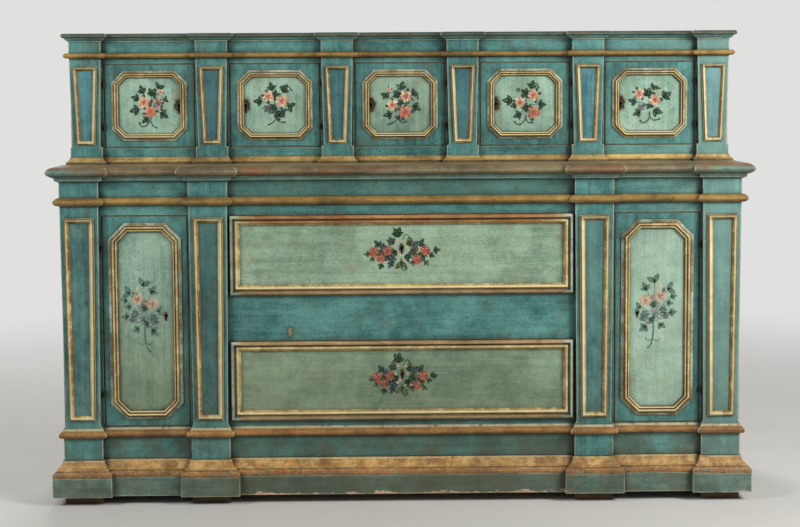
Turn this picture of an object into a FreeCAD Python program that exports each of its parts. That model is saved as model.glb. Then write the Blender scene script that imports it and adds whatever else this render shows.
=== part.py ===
import FreeCAD, Part
import math
import os
import re
import Sketcher

Vector = FreeCAD.Vector
doc = FreeCAD.newDocument("two_part_cupboard")
sheet = doc.addObject("Spreadsheet::Sheet", "Sizes")

# Driving sizes in millimetres.
sizes = {
    # The whole cupboard
    "case_width": 2218,
    "lower_depth": 560,
    "upper_setback": 195,
    "pilaster_projection": 20,
    # Heights of the lower case, from the floor up
    "foot_height": 30,
    "plinth_height": 63,
    "base_mould_height": 53,
    "dado_height": 74,
    "waist_torus": 21,
    "waist_cove": 11,
    "flare_height": 17,
    "shaft_height": 713,
    "bead_height": 26,
    "frieze_height": 52,
    "bed_mould_height": 16,
    "worktop_thick": 32,
    # Heights of the upper case, from the worktop up
    "upper_base_height": 22,
    "upper_block_height": 35,
    "upper_shaft_height": 298,
    "upper_bead_height": 17,
    "upper_frieze_height": 38,
    "cornice_height": 27,
    # How far the mouldings stand out
    "plinth_projection": 33,
    "base_ledge": 2,
    "base_fillet": 5,
    "waist_lip": 5,
    "waist_fillet": 1,
    "bead_lip": 5,
    "bed_fillet": 3,
    "worktop_overhang": 36,
    "upper_base_projection": 14,
    "upper_bead_lip": 8,
    "cornice_projection": 22,
    "mould_return": 30,
    # Pilasters
    "lower_pilaster_width": 127,
    "lower_shaft_top": 125,
    "lower_shaft_foot": 113,
    "side_bay": 290,
    "upper_pilaster_width": 107,
    "upper_shaft_top": 105,
    "upper_shaft_foot": 93,
    "lower_panel_side": 13,
    "lower_panel_margin": 39,
    "lower_panel_mould": 19,
    "lower_panel_rise": 10,
    "upper_panel_side": 11,
    "upper_panel_foot_side": 15.5,
    "upper_panel_margin": 28,
    "upper_panel_mould": 15,
    "upper_panel_rise": 8,
    "panel_foot_margin": 8,
    # Boards
    "frame_thick": 24,
    "end_thick": 24,
    "partition_thick": 22,
    "floor_thick": 22,
    "shelf_thick": 20,
    "shelf_rise": 348,
    "shelf_setback": 60,
    "cleat_size": 20,
    "back_thick": 16,
    "plank_gap": 1,
    "top_thick": 22,
    "foot_width": 124,
    "foot_depth": 100,
    "foot_setback": 35,
    # Doors
    "frame_reveal": 4,
    "door_side_gap": 3,
    "door_end_gap": 2,
    "lower_door_sill": 1,
    "lower_door_head": 32,
    "lower_octagon_side": 19.5,
    "lower_octagon_end": 23.5,
    "lower_octagon_corner": 52,
    "lower_door_mould": 30,
    "lower_door_mould_rise": 12,
    "lower_backset": 73,
    "lower_keyhole_rise": 18,
    "upper_door_sill": 31,
    "upper_door_head": 18,
    "upper_floor_drop": 5,
    "upper_octagon_side": 23.6,
    "upper_octagon_end": 22.5,
    "upper_octagon_corner": 40,
    "upper_door_mould": 24,
    "upper_door_mould_rise": 11,
    "upper_backset": 52.6,
    "upper_keyhole_rise": 0,
    "keyhole_round": 5.5,
    "keyhole_slot": 2.6,
    "keyhole_drop": 19,
    # Drawers
    "drawer_sill": 18,
    "drawer_head": 34,
    "drawer_rail": 150,
    "drawer_side_gap": 4,
    "drawer_end_gap": 2,
    "drawer_mould": 33,
    "drawer_mould_rise": 16,
    "drawer_back_gap": 30,
    "drawer_box_drop": 38,
    "drawer_box_lift": 6,
    "drawer_side_thick": 16,
    "drawer_bottom_thick": 10,
    "drawer_bottom_lift": 12,
    "drawer_back_drop": 14,
    "drawer_keyhole_rise": 20,
    "dovetail_lap": 9,
    "dovetail_flare": 5,
    "runner_width": 32,
    "runner_thick": 22,
    "runner_clearance": 0.5,
    "kicker_clearance": 3,
    # Hinges
    "knuckle_radius": 4.5,
    "knuckle_height": 8,
    "knuckle_clearance": 0.3,
    "pin_radius": 2,
    "pin_clearance": 0.06,
    "leaf_height": 44,
    "leaf_margin": 4,
    "lower_hinge_inset": 106,
    "upper_hinge_inset": 68,
    # Locks
    "lock_height": 58,
    "lock_depth": 14,
    "lock_wall": 2,
    "lock_edge_gap": 2,
    "lock_tail": 16,
    "bolt_height": 10,
    "bolt_thick": 6,
    "bolt_standoff": 3,
    "bolt_rise": 15,
    "bolt_tail_gap": 14,
    "bolt_clearance": 0.3,
}

# Levels and planes that follow from the sizes.
places = {
    "plinth_top": "foot_height + plinth_height",
    "dado_low": "plinth_top + base_mould_height",
    "waist_low": "dado_low + dado_height",
    "waist_top": "waist_low + waist_torus + waist_cove",
    "shaft_low": "waist_top + flare_height",
    "bead_low": "shaft_low + shaft_height",
    "frieze_low": "bead_low + bead_height",
    "bed_low": "frieze_low + frieze_height",
    "worktop_low": "bed_low + bed_mould_height",
    "worktop_top": "worktop_low + worktop_thick",
    "upper_block_low": "worktop_top + upper_base_height",
    "upper_shaft_low": "upper_block_low + upper_block_height",
    "upper_bead_low": "upper_shaft_low + upper_shaft_height",
    "upper_frieze_low": "upper_bead_low + upper_bead_height",
    "cornice_low": "upper_frieze_low + upper_frieze_height",
    "cornice_top": "cornice_low + cornice_height",
    "top_low": "cornice_top - top_thick",
    "case_half": "case_width / 2",
    "end_inner": "case_half - end_thick",
    "outer_pilaster_at": "case_half - lower_pilaster_width / 2",
    "side_bay_outer": "case_half - lower_pilaster_width",
    "side_bay_inner": "side_bay_outer - side_bay",
    "side_bay_at": "side_bay_outer - side_bay / 2",
    "centre_bay": "side_bay_inner - lower_pilaster_width",
    "inner_pilaster_at": "side_bay_inner - lower_pilaster_width / 2",
    "upper_spacing": "(case_width - upper_pilaster_width) / 5",
    "back": "(lower_depth + worktop_overhang) / 2",
    "back_inner": "back - back_thick",
    "lower_face": "back - lower_depth",
    "lower_recess": "lower_face + pilaster_projection",
    "lower_frame_back": "lower_recess + frame_thick",
    "upper_face": "lower_face + upper_setback",
    "upper_recess": "upper_face + pilaster_projection",
    "upper_frame_back": "upper_recess + frame_thick",
    "lower_opening_half": "side_bay / 2 - frame_reveal",
    "upper_opening_half": "(upper_spacing - upper_pilaster_width) / 2 - frame_reveal",
    "lower_door_half": "lower_opening_half - door_side_gap",
    "upper_door_half": "upper_opening_half - door_side_gap",
    "lower_door_low": "waist_top + lower_door_sill",
    "lower_door_opening": "bead_low - lower_door_head - lower_door_low",
    "lower_door_foot": "lower_door_low + door_end_gap",
    "lower_door_height": "lower_door_opening - 2 * door_end_gap",
    "upper_door_low": "upper_block_low + upper_door_sill",
    "upper_door_opening": "upper_bead_low - upper_door_head - upper_door_low",
    "upper_door_foot": "upper_door_low + door_end_gap",
    "upper_door_height": "upper_door_opening - 2 * door_end_gap",
    "upper_floor_top": "upper_door_low - upper_floor_drop",
    "lower_octagon_width": "2 * (lower_door_half - lower_octagon_side)",
    "lower_octagon_height": "lower_door_height - 2 * lower_octagon_end",
    "upper_octagon_width": "2 * (upper_door_half - upper_octagon_side)",
    "upper_octagon_height": "upper_door_height - 2 * upper_octagon_end",
    "lower_panel_top": "lower_shaft_top - 2 * lower_panel_side",
    "lower_panel_foot": "lower_shaft_foot - 2 * lower_panel_side",
    "upper_panel_top": "upper_shaft_top - 2 * upper_panel_side",
    "upper_panel_foot": "upper_shaft_foot - 2 * upper_panel_foot_side",
    "shelf_level": "waist_top + shelf_rise",
    "drawer_low": "waist_top + drawer_sill",
    "drawer_opening": "(bead_low - drawer_head - drawer_rail - drawer_low) / 2",
    "drawer_half": "centre_bay - drawer_side_gap",
    "drawer_height": "drawer_opening - 2 * drawer_end_gap",
    "drawer_box_height": "drawer_height - drawer_box_lift - drawer_box_drop",
    "drawer_box_back": "back_inner - drawer_back_gap",
    "drawer_box_depth": "drawer_box_back - lower_frame_back",
    "leaf_thick": "door_side_gap / 2 - knuckle_clearance",
    "leaf_depth": "frame_thick - leaf_margin",
}


def expand(text):
    def word(match):
        name = match.group()
        if name in places:
            return "(" + expand(places[name]) + ")"
        return "Sizes." + name if name in sizes else name
    return re.sub(r"[a-z_]+", word, text)


for row, (name, value) in enumerate(sizes.items(), 1):
    sheet.set(f"A{row}", name.replace("_", " "))
    sheet.set(f"B{row}", str(value))
    sheet.setAlias(f"B{row}", name)
doc.recompute()


def number(text):
    return float(sheet.evalExpression(expand(text)))


def bind(thing, prop, text):
    thing.setExpression(prop, expand(text))


def put(thing, x, y, z):
    for axis, text in zip("xyz", (x, y, z)):
        bind(thing, "Placement.Base." + axis, text)


def minus(text):
    return f"-({text})"


def sided(side, text):
    return text if side > 0 else minus(text)


def board(x, y, z):
    # A squared board between a low and a high limit along each axis.
    box = doc.addObject("Part::Box", "Board")
    for prop, (low, high) in zip(("Length", "Width", "Height"), (x, y, z)):
        bind(box, prop, f"({high}) - ({low})")
    put(box, x[0], y[0], z[0])
    return box


def sided_board(side, x, y, z):
    # A board given by its distances from the middle, on the left or the right.
    if side > 0:
        return board(x, y, z)
    return board((minus(x[1]), minus(x[0])), y, z)


def rod(radius, height, x, y, z):
    cylinder = doc.addObject("Part::Cylinder", "Rod")
    bind(cylinder, "Radius", radius)
    bind(cylinder, "Height", height)
    put(cylinder, x, y, z)
    return cylinder


def fused(members):
    joined = doc.addObject("Part::MultiFuse", "Fused")
    joined.Shapes = members
    return joined


def cut(base, tool):
    rest = doc.addObject("Part::Cut", "Cut")
    rest.Base = base
    rest.Tool = tool
    return rest


sub_parts = []


def node(label, members):
    # One named sub-part: a single solid, or a group of like solids.
    if len(members) == 1:
        thing = members[0]
    else:
        thing = doc.addObject("Part::Compound", "Group")
        thing.Links = members
    thing.Label = label
    sub_parts.append(thing)


def arc_edge(start, end, radius, turn, longer):
    # The centre lies to the left of the chord for turn 1, to the right for turn -1.
    along = end - start
    across = Vector(-along.y, along.x, 0).normalize() * turn
    reach = math.sqrt(max(radius ** 2 - along.Length ** 2 / 4, 0))
    centre = (start + end) * 0.5 + across * (-reach if longer else reach)
    return Part.Arc(start, centre - across * radius, end)


def draw(sketch, corners, bends=None, closed=True):
    # An outline through corners given as pairs of formulas. Edge number k runs from corner k,
    # and is an arc where bends gives its radius, turn and whether it is the longer arc.
    bends = bends or {}
    points = [Vector(number(x), number(y), 0) for x, y in corners]
    count = len(points)
    edges = count if closed else count - 1
    for k in range(edges):
        start, end = points[k], points[(k + 1) % count]
        if k in bends:
            radius, turn, longer = bends[k]
            sketch.addGeometry(arc_edge(start, end, number(radius), turn, longer))
        else:
            sketch.addGeometry(Part.LineSegment(start, end))

    def tip(edge, point):
        return 1 if sketch.getPoint(edge, 1).sub(point).Length < 1e-6 else 2

    joints = []
    for k in range(edges):
        after = (k + 1) % count
        if after < edges:
            ends = (k, tip(k, points[after]), after, tip(after, points[after]))
            joints.append(Sketcher.Constraint("Coincident", *ends))
    sketch.addConstraint(joints)
    for k, point in enumerate(points):
        edge = min(k, edges - 1)
        for kind, value, text in zip(("DistanceX", "DistanceY"), point, corners[k]):
            at = sketch.addConstraint(Sketcher.Constraint(kind, -1, 1, edge, tip(edge, point), value))
            bind(sketch, f"Constraints[{at}]", text)
    for k, (radius, turn, longer) in bends.items():
        at = sketch.addConstraint(Sketcher.Constraint("Radius", k, number(radius)))
        bind(sketch, f"Constraints[{at}]", radius)
    return sketch


def new_body(name):
    return doc.addObject("PartDesign::Body", name)


def on_plane(body, role, name="Outline"):
    sketch = body.newObject("Sketcher::SketchObject", name)
    plane = next(p for p in body.Origin.OriginFeatures if p.Role == role)
    sketch.AttachmentSupport = [(plane, "")]
    sketch.MapMode = "FlatFace"
    return sketch


def pad(body, sketch, length, backwards=False):
    feature = body.newObject("PartDesign::Pad", "Pad")
    feature.Profile = sketch
    feature.Reversed = backwards
    bind(feature, "Length", length)
    return feature


def pocket(body, sketch, length, backwards=False):
    feature = body.newObject("PartDesign::Pocket", "Pocket")
    feature.Profile = sketch
    feature.Reversed = backwards
    bind(feature, "Length", length)
    return feature


def keyhole(body, x, z):
    # A round hole with a slot below it, through the front board.
    bow = "sqrt(keyhole_round ^ 2 - keyhole_slot ^ 2)"
    corners = [
        (f"{x} - keyhole_slot", f"{z} - keyhole_drop"),
        (f"{x} + keyhole_slot", f"{z} - keyhole_drop"),
        (f"{x} + keyhole_slot", f"{z} - {bow}"),
        (f"{x} - keyhole_slot", f"{z} - {bow}"),
    ]
    sketch = draw(on_plane(body, "XZ_Plane", "Keyhole"), corners, {2: ("keyhole_round", 1, True)})
    return pocket(body, sketch, "frame_thick")


def sweep(path, profile):
    path.recompute()
    moulding = doc.addObject("Part::Sweep", "Moulding")
    moulding.Sections = [profile]
    moulding.Spine = (path, [f"Edge{k + 1}" for k in range(path.GeometryCount)])
    moulding.Solid = True
    moulding.Transition = "Right corner"
    return moulding


upright = FreeCAD.Rotation(Vector(1, 0, 0), 90)
across_run = FreeCAD.Rotation(Vector(0, 0, 1), Vector(0, -1, 0), Vector(1, 0, 0), "XYZ")


def framed(corners, section, bends, at):
    # A closed mitred moulding on a front. Its path starts in the middle of the foot edge, and its
    # section is given by the distance in from the path and the rise off the front.
    path = doc.addObject("Sketcher::SketchObject", "Path")
    path.Placement.Rotation = upright
    put(path, *at)
    draw(path, corners)
    profile = doc.addObject("Sketcher::SketchObject", "Section")
    profile.Placement.Rotation = across_run
    put(profile, at[0], at[1], f"{at[2]} + {corners[0][1]}")
    draw(profile, section, bends)
    return sweep(path, profile)


# Break-front plan of each case: back left corner, round the pilasters, to the back right corner.
def front_plan(centres, half, face, recess):
    plan = [("-case_half", "back")]
    for k, centre in enumerate(centres):
        left, right = f"{centre} - {half}", f"{centre} + {half}"
        if k > 0:
            plan.append((left, recess))
        plan.append((left if k > 0 else "-case_half", face))
        plan.append((right if k < len(centres) - 1 else "case_half", face))
        if k < len(centres) - 1:
            plan.append((right, recess))
    plan.append(("case_half", "back"))
    return plan


lower_centres = ["-outer_pilaster_at", "-inner_pilaster_at", "inner_pilaster_at", "outer_pilaster_at"]
upper_centres = [f"{k} * upper_spacing" for k in (-2.5, -1.5, -0.5, 0.5, 1.5, 2.5)]
lower_plan = front_plan(lower_centres, "lower_pilaster_width / 2", "lower_face", "lower_recess")
upper_plan = front_plan(upper_centres, "upper_pilaster_width / 2", "upper_face", "upper_recess")


def plan_paths(plan, face):
    # The front run turns both corners, and a straight run follows it along each end.
    turn = f"{face} + mould_return"
    runs = [
        [("-case_half", "back"), ("-case_half", turn)],
        [("-case_half", turn)] + plan[1:-1] + [("case_half", turn)],
        [("case_half", turn), ("case_half", "back")],
    ]
    made = []
    for run in runs:
        made.append((run[0], draw(doc.addObject("Sketcher::SketchObject", "Plan"), run, closed=False)))
    return made


def run_round(paths, low, section, bends):
    # A moulding mitred round three sides of a case, from its section: the distance out from the
    # case, and the height above the moulding's own foot.
    runs = []
    for k, (start, path) in enumerate(paths):
        profile = doc.addObject("Sketcher::SketchObject", "Section")
        profile.Placement.Rotation = upright
        put(profile, *start, low)
        side = 1 if k == 2 else -1
        turned = {edge: (radius, side * turn, longer) for edge, (radius, turn, longer) in bends.items()}
        draw(profile, [(sided(side, out), rise) for out, rise in section], turned)
        runs.append(sweep(path, profile))
    return runs


def slab(name, plan, low, thick):
    # A board whose front edge follows the break-front plan.
    body = new_body(name)
    put(body, "0", "0", low)
    pad(body, draw(on_plane(body, "XY_Plane"), plan), thick)
    return body


lower_paths = plan_paths(lower_plan, "lower_face")
upper_paths = plan_paths(upper_plan, "upper_face")


def nosed_bead(lip, height):
    # Two flat curves that meet in a narrow nose.
    nose = f"{lip} + 0.5 * {height}"
    section = [
        ("0", "0"),
        (lip, "0"),
        (nose, f"0.42 * {height}"),
        (nose, f"0.56 * {height}"),
        (lip, height),
        ("0", height),
    ]
    return section, {1: (f"0.8 * {height}", 1, False), 3: (f"0.8 * {height}", 1, False)}


# Lower case: ends, partitions, floor, shelves and back.
sides = (-1, 1)
lower_depths = ("lower_frame_back", "back_inner")
uprights = []
shelves = []
runners = []
for side in sides:
    end_y = ("lower_frame_back", "back")
    uprights.append(sided_board(side, ("end_inner", "case_half"), end_y, ("foot_height", "worktop_low")))
    inner = ("centre_bay", "centre_bay + partition_thick")
    uprights.append(sided_board(side, inner, lower_depths, ("waist_top", "worktop_low")))
    shelf_x = ("centre_bay + partition_thick", "end_inner")
    shelf_y = ("lower_frame_back + shelf_setback", "back_inner")
    shelf_z = ("shelf_level", "shelf_level + shelf_thick")
    shelves.append(sided_board(side, shelf_x, shelf_y, shelf_z))
    cleat_z = ("shelf_level - cleat_size", "shelf_level")
    shelves.append(sided_board(side, (shelf_x[0], f"{shelf_x[0]} + cleat_size"), shelf_y, cleat_z))
    shelves.append(sided_board(side, ("end_inner - cleat_size", "end_inner"), shelf_y, cleat_z))
node("lower_uprights", uprights)
node("lower_shelves", shelves)
floor_z = ("waist_top - floor_thick", "waist_top")
node("lower_floor", [board(("-end_inner", "end_inner"), lower_depths, floor_z)])


def planks(count, low, high):
    made = []
    step = f"2 * end_inner / {count}"
    for k in range(count):
        x = (f"-end_inner + {k} * {step}", f"-end_inner + {k + 1} * {step} - plank_gap")
        made.append(board(x, ("back_inner", "back"), (low, high)))
    return made


node("back_planks", planks(7, "foot_height", "worktop_low") + planks(6, "worktop_top", "top_low"))

# Lower face frame: uprights behind the pilasters, and rails between them.
lower_frame_y = ("lower_recess", "lower_frame_back")
lower_z = ("foot_height", "worktop_low")
door_top = "lower_door_low + lower_door_opening"
frame = []
for side in sides:
    outer_x = ("side_bay_outer - frame_reveal", "case_half")
    inner_x = ("centre_bay", "side_bay_inner + frame_reveal")
    frame.append(sided_board(side, outer_x, lower_frame_y, lower_z))
    frame.append(sided_board(side, inner_x, lower_frame_y, lower_z))
    bay_x = (inner_x[1], outer_x[0])
    frame.append(sided_board(side, bay_x, lower_frame_y, ("foot_height", "lower_door_low")))
    frame.append(sided_board(side, bay_x, lower_frame_y, (door_top, "worktop_low")))
low_drawer_top = "drawer_low + drawer_opening"
top_drawer_low = "drawer_low + drawer_opening + drawer_rail"
top_drawer_top = "drawer_low + 2 * drawer_opening + drawer_rail"
for rail_z in (
    ("foot_height", "drawer_low"),
    (low_drawer_top, top_drawer_low),
    (top_drawer_top, "worktop_low"),
):
    frame.append(board(("-centre_bay", "centre_bay"), lower_frame_y, rail_z))
node("lower_face_frame", frame)

# Plinth and feet.
plinth_z = ("foot_height", "plinth_top")
plinth = []
feet = []
plinth_front = "lower_face - plinth_projection"
block_half = "lower_pilaster_width / 2 + plinth_projection"
for centre in lower_centres:
    x = (f"{centre} - ({block_half})", f"{centre} + {block_half}")
    plinth.append(board(x, (plinth_front, "lower_recess"), plinth_z))
    foot_x = (f"{centre} - foot_width / 2", f"{centre} + foot_width / 2")
    foot_y = f"{plinth_front} + foot_setback"
    feet.append(board(foot_x, (foot_y, f"{foot_y} + foot_depth"), ("0", "foot_height")))
    feet.append(board(foot_x, ("back - foot_depth", "back"), ("0", "foot_height")))
recess_y = ("lower_recess - plinth_projection", "lower_recess")
plinth_gap = ("side_bay_inner + plinth_projection", "side_bay_outer - plinth_projection")
plinth_middle = "centre_bay - plinth_projection"
plinth.append(board((minus(plinth_middle), plinth_middle), recess_y, plinth_z))
for side in sides:
    plinth.append(sided_board(side, plinth_gap, recess_y, plinth_z))
    end_x = ("case_half", "case_half + plinth_projection")
    plinth.append(sided_board(side, end_x, ("lower_recess", "back"), plinth_z))
node("plinth", plinth)
node("feet", feet)

# Mouldings round the lower case.
base_section = [
    ("0", "0"),
    ("plinth_projection - base_ledge", "0"),
    ("plinth_projection - base_ledge - base_fillet", "0.36 * base_mould_height"),
    ("plinth_projection - 3 * base_ledge - base_fillet", "0.36 * base_mould_height"),
    ("plinth_projection - 3 * base_ledge - base_fillet", "0.44 * base_mould_height"),
    ("base_fillet", "0.88 * base_mould_height"),
    ("base_fillet", "base_mould_height"),
    ("0", "base_mould_height"),
]
base_bends = {
    1: ("0.24 * base_mould_height", 1, False),
    4: ("0.7 * base_mould_height", -1, False),
}
node("base_moulding", run_round(lower_paths, "plinth_top", base_section, base_bends))
waist_section = [
    ("0", "0"),
    ("waist_lip", "0"),
    ("waist_lip", "waist_torus"),
    ("waist_fillet", "waist_torus + waist_cove"),
    ("0", "waist_torus + waist_cove"),
]
waist_bends = {1: ("0.503 * waist_torus", 1, False), 2: ("waist_cove", -1, False)}
node("waist_moulding", run_round(lower_paths, "waist_low", waist_section, waist_bends))
beads = run_round(lower_paths, "bead_low", *nosed_bead("bead_lip", "bead_height"))
beads += run_round(upper_paths, "upper_bead_low", *nosed_bead("upper_bead_lip", "upper_bead_height"))
node("frieze_beads", beads)
node("worktop", [slab("Worktop", lower_plan, "worktop_low", "worktop_thick")])
edge_section = [
    ("0", "0"),
    ("bed_fillet", "0"),
    ("0.36 * worktop_overhang", "0.3 * bed_mould_height"),
    ("0.36 * worktop_overhang", "0.75 * bed_mould_height"),
    ("0.6 * worktop_overhang", "bed_mould_height"),
    ("0.7 * worktop_overhang", "bed_mould_height + 0.1 * worktop_thick"),
    ("worktop_overhang", "bed_mould_height + 0.44 * worktop_thick"),
    ("worktop_overhang", "bed_mould_height + 0.56 * worktop_thick"),
    ("0.35 * worktop_overhang", "bed_mould_height + worktop_thick"),
    ("0", "bed_mould_height + worktop_thick"),
]
edge_bends = {
    3: ("0.3 * worktop_overhang", -1, False),
    5: ("0.5 * worktop_thick", 1, False),
    7: ("0.75 * worktop_thick", 1, False),
}
node("worktop_moulding", run_round(lower_paths, "bed_low", edge_section, edge_bends))

# Mouldings round the upper case, and its top.
foot_section = [
    ("0", "0"),
    ("upper_base_projection", "0"),
    ("upper_base_projection", "0.36 * upper_base_height"),
    ("0.2 * upper_base_projection", "0.84 * upper_base_height"),
    ("0.2 * upper_base_projection", "upper_base_height"),
    ("0", "upper_base_height"),
]
foot_bends = {2: ("0.7 * upper_base_height", -1, False)}
node("upper_base_moulding", run_round(upper_paths, "worktop_top", foot_section, foot_bends))
cornice_section = [
    ("0", "0"),
    ("0.14 * cornice_projection", "0"),
    ("0.14 * cornice_projection", "0.12 * cornice_height"),
    ("0.6 * cornice_projection", "0.46 * cornice_height"),
    ("0.7 * cornice_projection", "0.46 * cornice_height"),
    ("cornice_projection", "0.66 * cornice_height"),
    ("cornice_projection", "0.74 * cornice_height"),
    ("0.72 * cornice_projection", "cornice_height"),
    ("0", "cornice_height"),
]
cornice_bends = {
    2: ("0.5 * cornice_height", 1, False),
    4: ("0.36 * cornice_height", 1, False),
    6: ("0.3 * cornice_height", 1, False),
}
node("upper_cornice", run_round(upper_paths, "cornice_low", cornice_section, cornice_bends))

# Upper case: ends, partitions, floor and top.
upper_depths = ("upper_frame_back", "back_inner")
upper_uprights = []
for side in sides:
    end_y = ("upper_frame_back", "back")
    upper_uprights.append(sided_board(side, ("end_inner", "case_half"), end_y, ("worktop_top", "top_low")))
for centre in upper_centres[1:-1]:
    x = (f"{centre} - partition_thick / 2", f"{centre} + partition_thick / 2")
    upper_uprights.append(board(x, upper_depths, ("upper_floor_top", "top_low")))
node("upper_uprights", upper_uprights)
upper_floor_z = ("upper_floor_top - floor_thick", "upper_floor_top")
upper_floor = board(("-end_inner", "end_inner"), upper_depths, upper_floor_z)
node("upper_floor_and_top", [upper_floor, slab("UpperTop", upper_plan, "top_low", "top_thick")])

# Upper face frame.
upper_frame_y = ("upper_recess", "upper_frame_back")
upper_frame = []
upper_door_top = "upper_door_low + upper_door_opening"
stile_half = "upper_pilaster_width / 2 + frame_reveal"
for k, centre in enumerate(upper_centres):
    x = (
        f"{centre} - ({stile_half})" if k > 0 else "-case_half",
        f"{centre} + {stile_half}" if k < 5 else "case_half",
    )
    upper_frame.append(board(x, upper_frame_y, ("worktop_top", "top_low")))
    if k < 5:
        x = (f"{centre} + {stile_half}", f"{upper_centres[k + 1]} - ({stile_half})")
        upper_frame.append(board(x, upper_frame_y, ("worktop_top", "upper_door_low")))
        upper_frame.append(board(x, upper_frame_y, (upper_door_top, "top_low")))
node("upper_face_frame", upper_frame)


# Pilasters: a tapered shaft between a square foot and a square head, cut from one board, with a
# mitred frame planted on its face.
def pilaster(centre, face, levels, widths, flare):
    low, block, shaft, head, high = levels
    whole, foot, top = (f"{width} / 2" for width in widths)
    right = [(whole, low), (whole, block), (foot, shaft), (top, head), (whole, head), (whole, high)]
    left = [(minus(x), z) for x, z in reversed(right)]
    bends = {1: (flare, -1, False), 9: (flare, -1, False)} if flare else {}
    body = new_body("Pilaster")
    put(body, centre, face, "0")
    pad(body, draw(on_plane(body, "XZ_Plane"), right + left, bends), "pilaster_projection", True)
    return body


def panel_moulding(width, rise):
    # A low ledge outside, then a crest and a round slope down to the panel.
    section = [
        ("0", "0"),
        ("0", f"0.42 * {rise}"),
        (f"0.16 * {width}", f"0.42 * {rise}"),
        (f"0.3 * {width}", rise),
        (f"0.94 * {width}", f"0.16 * {rise}"),
        (width, "0"),
    ]
    return section, {3: (f"0.9 * {width}", -1, False)}


def pilaster_frame(centre, face, low, high, foot, top, moulding):
    corners = [
        ("0", low),
        (f"{foot} / 2", low),
        (f"{top} / 2", high),
        (f"-{top} / 2", high),
        (f"-{foot} / 2", low),
    ]
    return framed(corners, *panel_moulding(*moulding), (centre, face, "0"))


lower_levels = ("plinth_top", "waist_top", "shaft_low", "bead_low", "worktop_low")
lower_widths = ("lower_pilaster_width", "lower_shaft_foot", "lower_shaft_top")
upper_levels = ("worktop_top", "upper_shaft_low", "upper_shaft_low", "upper_bead_low", "top_low")
upper_widths = ("upper_pilaster_width", "upper_shaft_foot", "upper_shaft_top")
pilasters = []
panels = []
for centre in lower_centres:
    pilasters.append(pilaster(centre, "lower_face", lower_levels, lower_widths, "1.5 * flare_height"))
    reach = ("shaft_low + panel_foot_margin", "bead_low - lower_panel_margin")
    ends = ("lower_panel_foot", "lower_panel_top")
    moulding = ("lower_panel_mould", "lower_panel_rise")
    panels.append(pilaster_frame(centre, "lower_face", *reach, *ends, moulding))
node("lower_pilasters", pilasters)
pilasters = []
for centre in upper_centres:
    pilasters.append(pilaster(centre, "upper_face", upper_levels, upper_widths, None))
    reach = ("upper_shaft_low + panel_foot_margin", "upper_bead_low - upper_panel_margin")
    ends = ("upper_panel_foot", "upper_panel_top")
    moulding = ("upper_panel_mould", "upper_panel_rise")
    panels.append(pilaster_frame(centre, "upper_face", *reach, *ends, moulding))
node("upper_pilasters", pilasters)
node("pilaster_frames", panels)


def door_section(width, rise):
    # A hollow rising from the door, then two reeds stepping down to the panel.
    section = [
        ("0", "0"),
        ("0", f"0.3 * {rise}"),
        (f"0.4 * {width}", rise),
        (f"0.66 * {width}", f"0.88 * {rise}"),
        (f"0.7 * {width}", f"0.6 * {rise}"),
        (f"0.94 * {width}", f"0.52 * {rise}"),
        (width, "0"),
    ]
    bends = {
        1: (f"0.55 * {width}", 1, False),
        2: (f"0.16 * {width}", -1, False),
        4: (f"0.15 * {width}", -1, False),
    }
    return section, bends


def octagon(width, height, corner, middle):
    x, z = f"{width} / 2", f"{height} / 2"
    right = [
        (f"{x} - {corner}", f"{middle} - {z}"),
        (x, f"{middle} - {z} + {corner}"),
        (x, f"{middle} + {z} - {corner}"),
        (f"{x} - {corner}", f"{middle} + {z}"),
    ]
    left = [(minus(a), b) for a, b in reversed(right)]
    return [("0", f"{middle} - {z}")] + right + left


# Lift-off hinges: a fixed leaf with the lower knuckle and the pin that stands in it, and a moving
# leaf with the upper knuckle, which drops over the pin.
def hinge(edge, side, recess, middle):
    # edge is the upright's edge beside the opening, and side points from it into the opening.
    def strip(near, far, y, z):
        x = (f"{edge} + {near}", f"{edge} + {far}")
        if side < 0:
            x = (f"{edge} - {far}", f"{edge} - ({near})")
        return board(x, y, z)

    axis_x = f"{edge} + door_side_gap / 2" if side > 0 else f"{edge} - door_side_gap / 2"
    axis_y = f"{recess} - knuckle_radius - knuckle_clearance"
    leaf_y = (f"{recess} + knuckle_clearance", f"{recess} + leaf_depth")
    leaf_z = (f"{middle} - leaf_height / 2", f"{middle} + leaf_height / 2")
    wing_y = (axis_y, leaf_y[0])
    low = f"{middle} - knuckle_height"
    fixed = [
        strip("0", "leaf_thick", leaf_y, leaf_z),
        strip("0", "leaf_thick", wing_y, (low, middle)),
        rod("knuckle_radius", "knuckle_height", axis_x, axis_y, low),
        rod("pin_radius", "2 * knuckle_height", axis_x, axis_y, low),
    ]
    foot = f"{middle} + knuckle_clearance"
    tall = "knuckle_height - knuckle_clearance"
    door_strip = ("door_side_gap - leaf_thick", "door_side_gap")
    moving = [
        strip(*door_strip, leaf_y, leaf_z),
        strip(*door_strip, wing_y, (foot, f"{foot} + {tall}")),
        rod("knuckle_radius", tall, axis_x, axis_y, foot),
    ]
    bore = rod("pin_radius + pin_clearance", "2 * knuckle_height", axis_x, axis_y, low)
    return fused(fixed), cut(fused(moving), bore)


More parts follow.
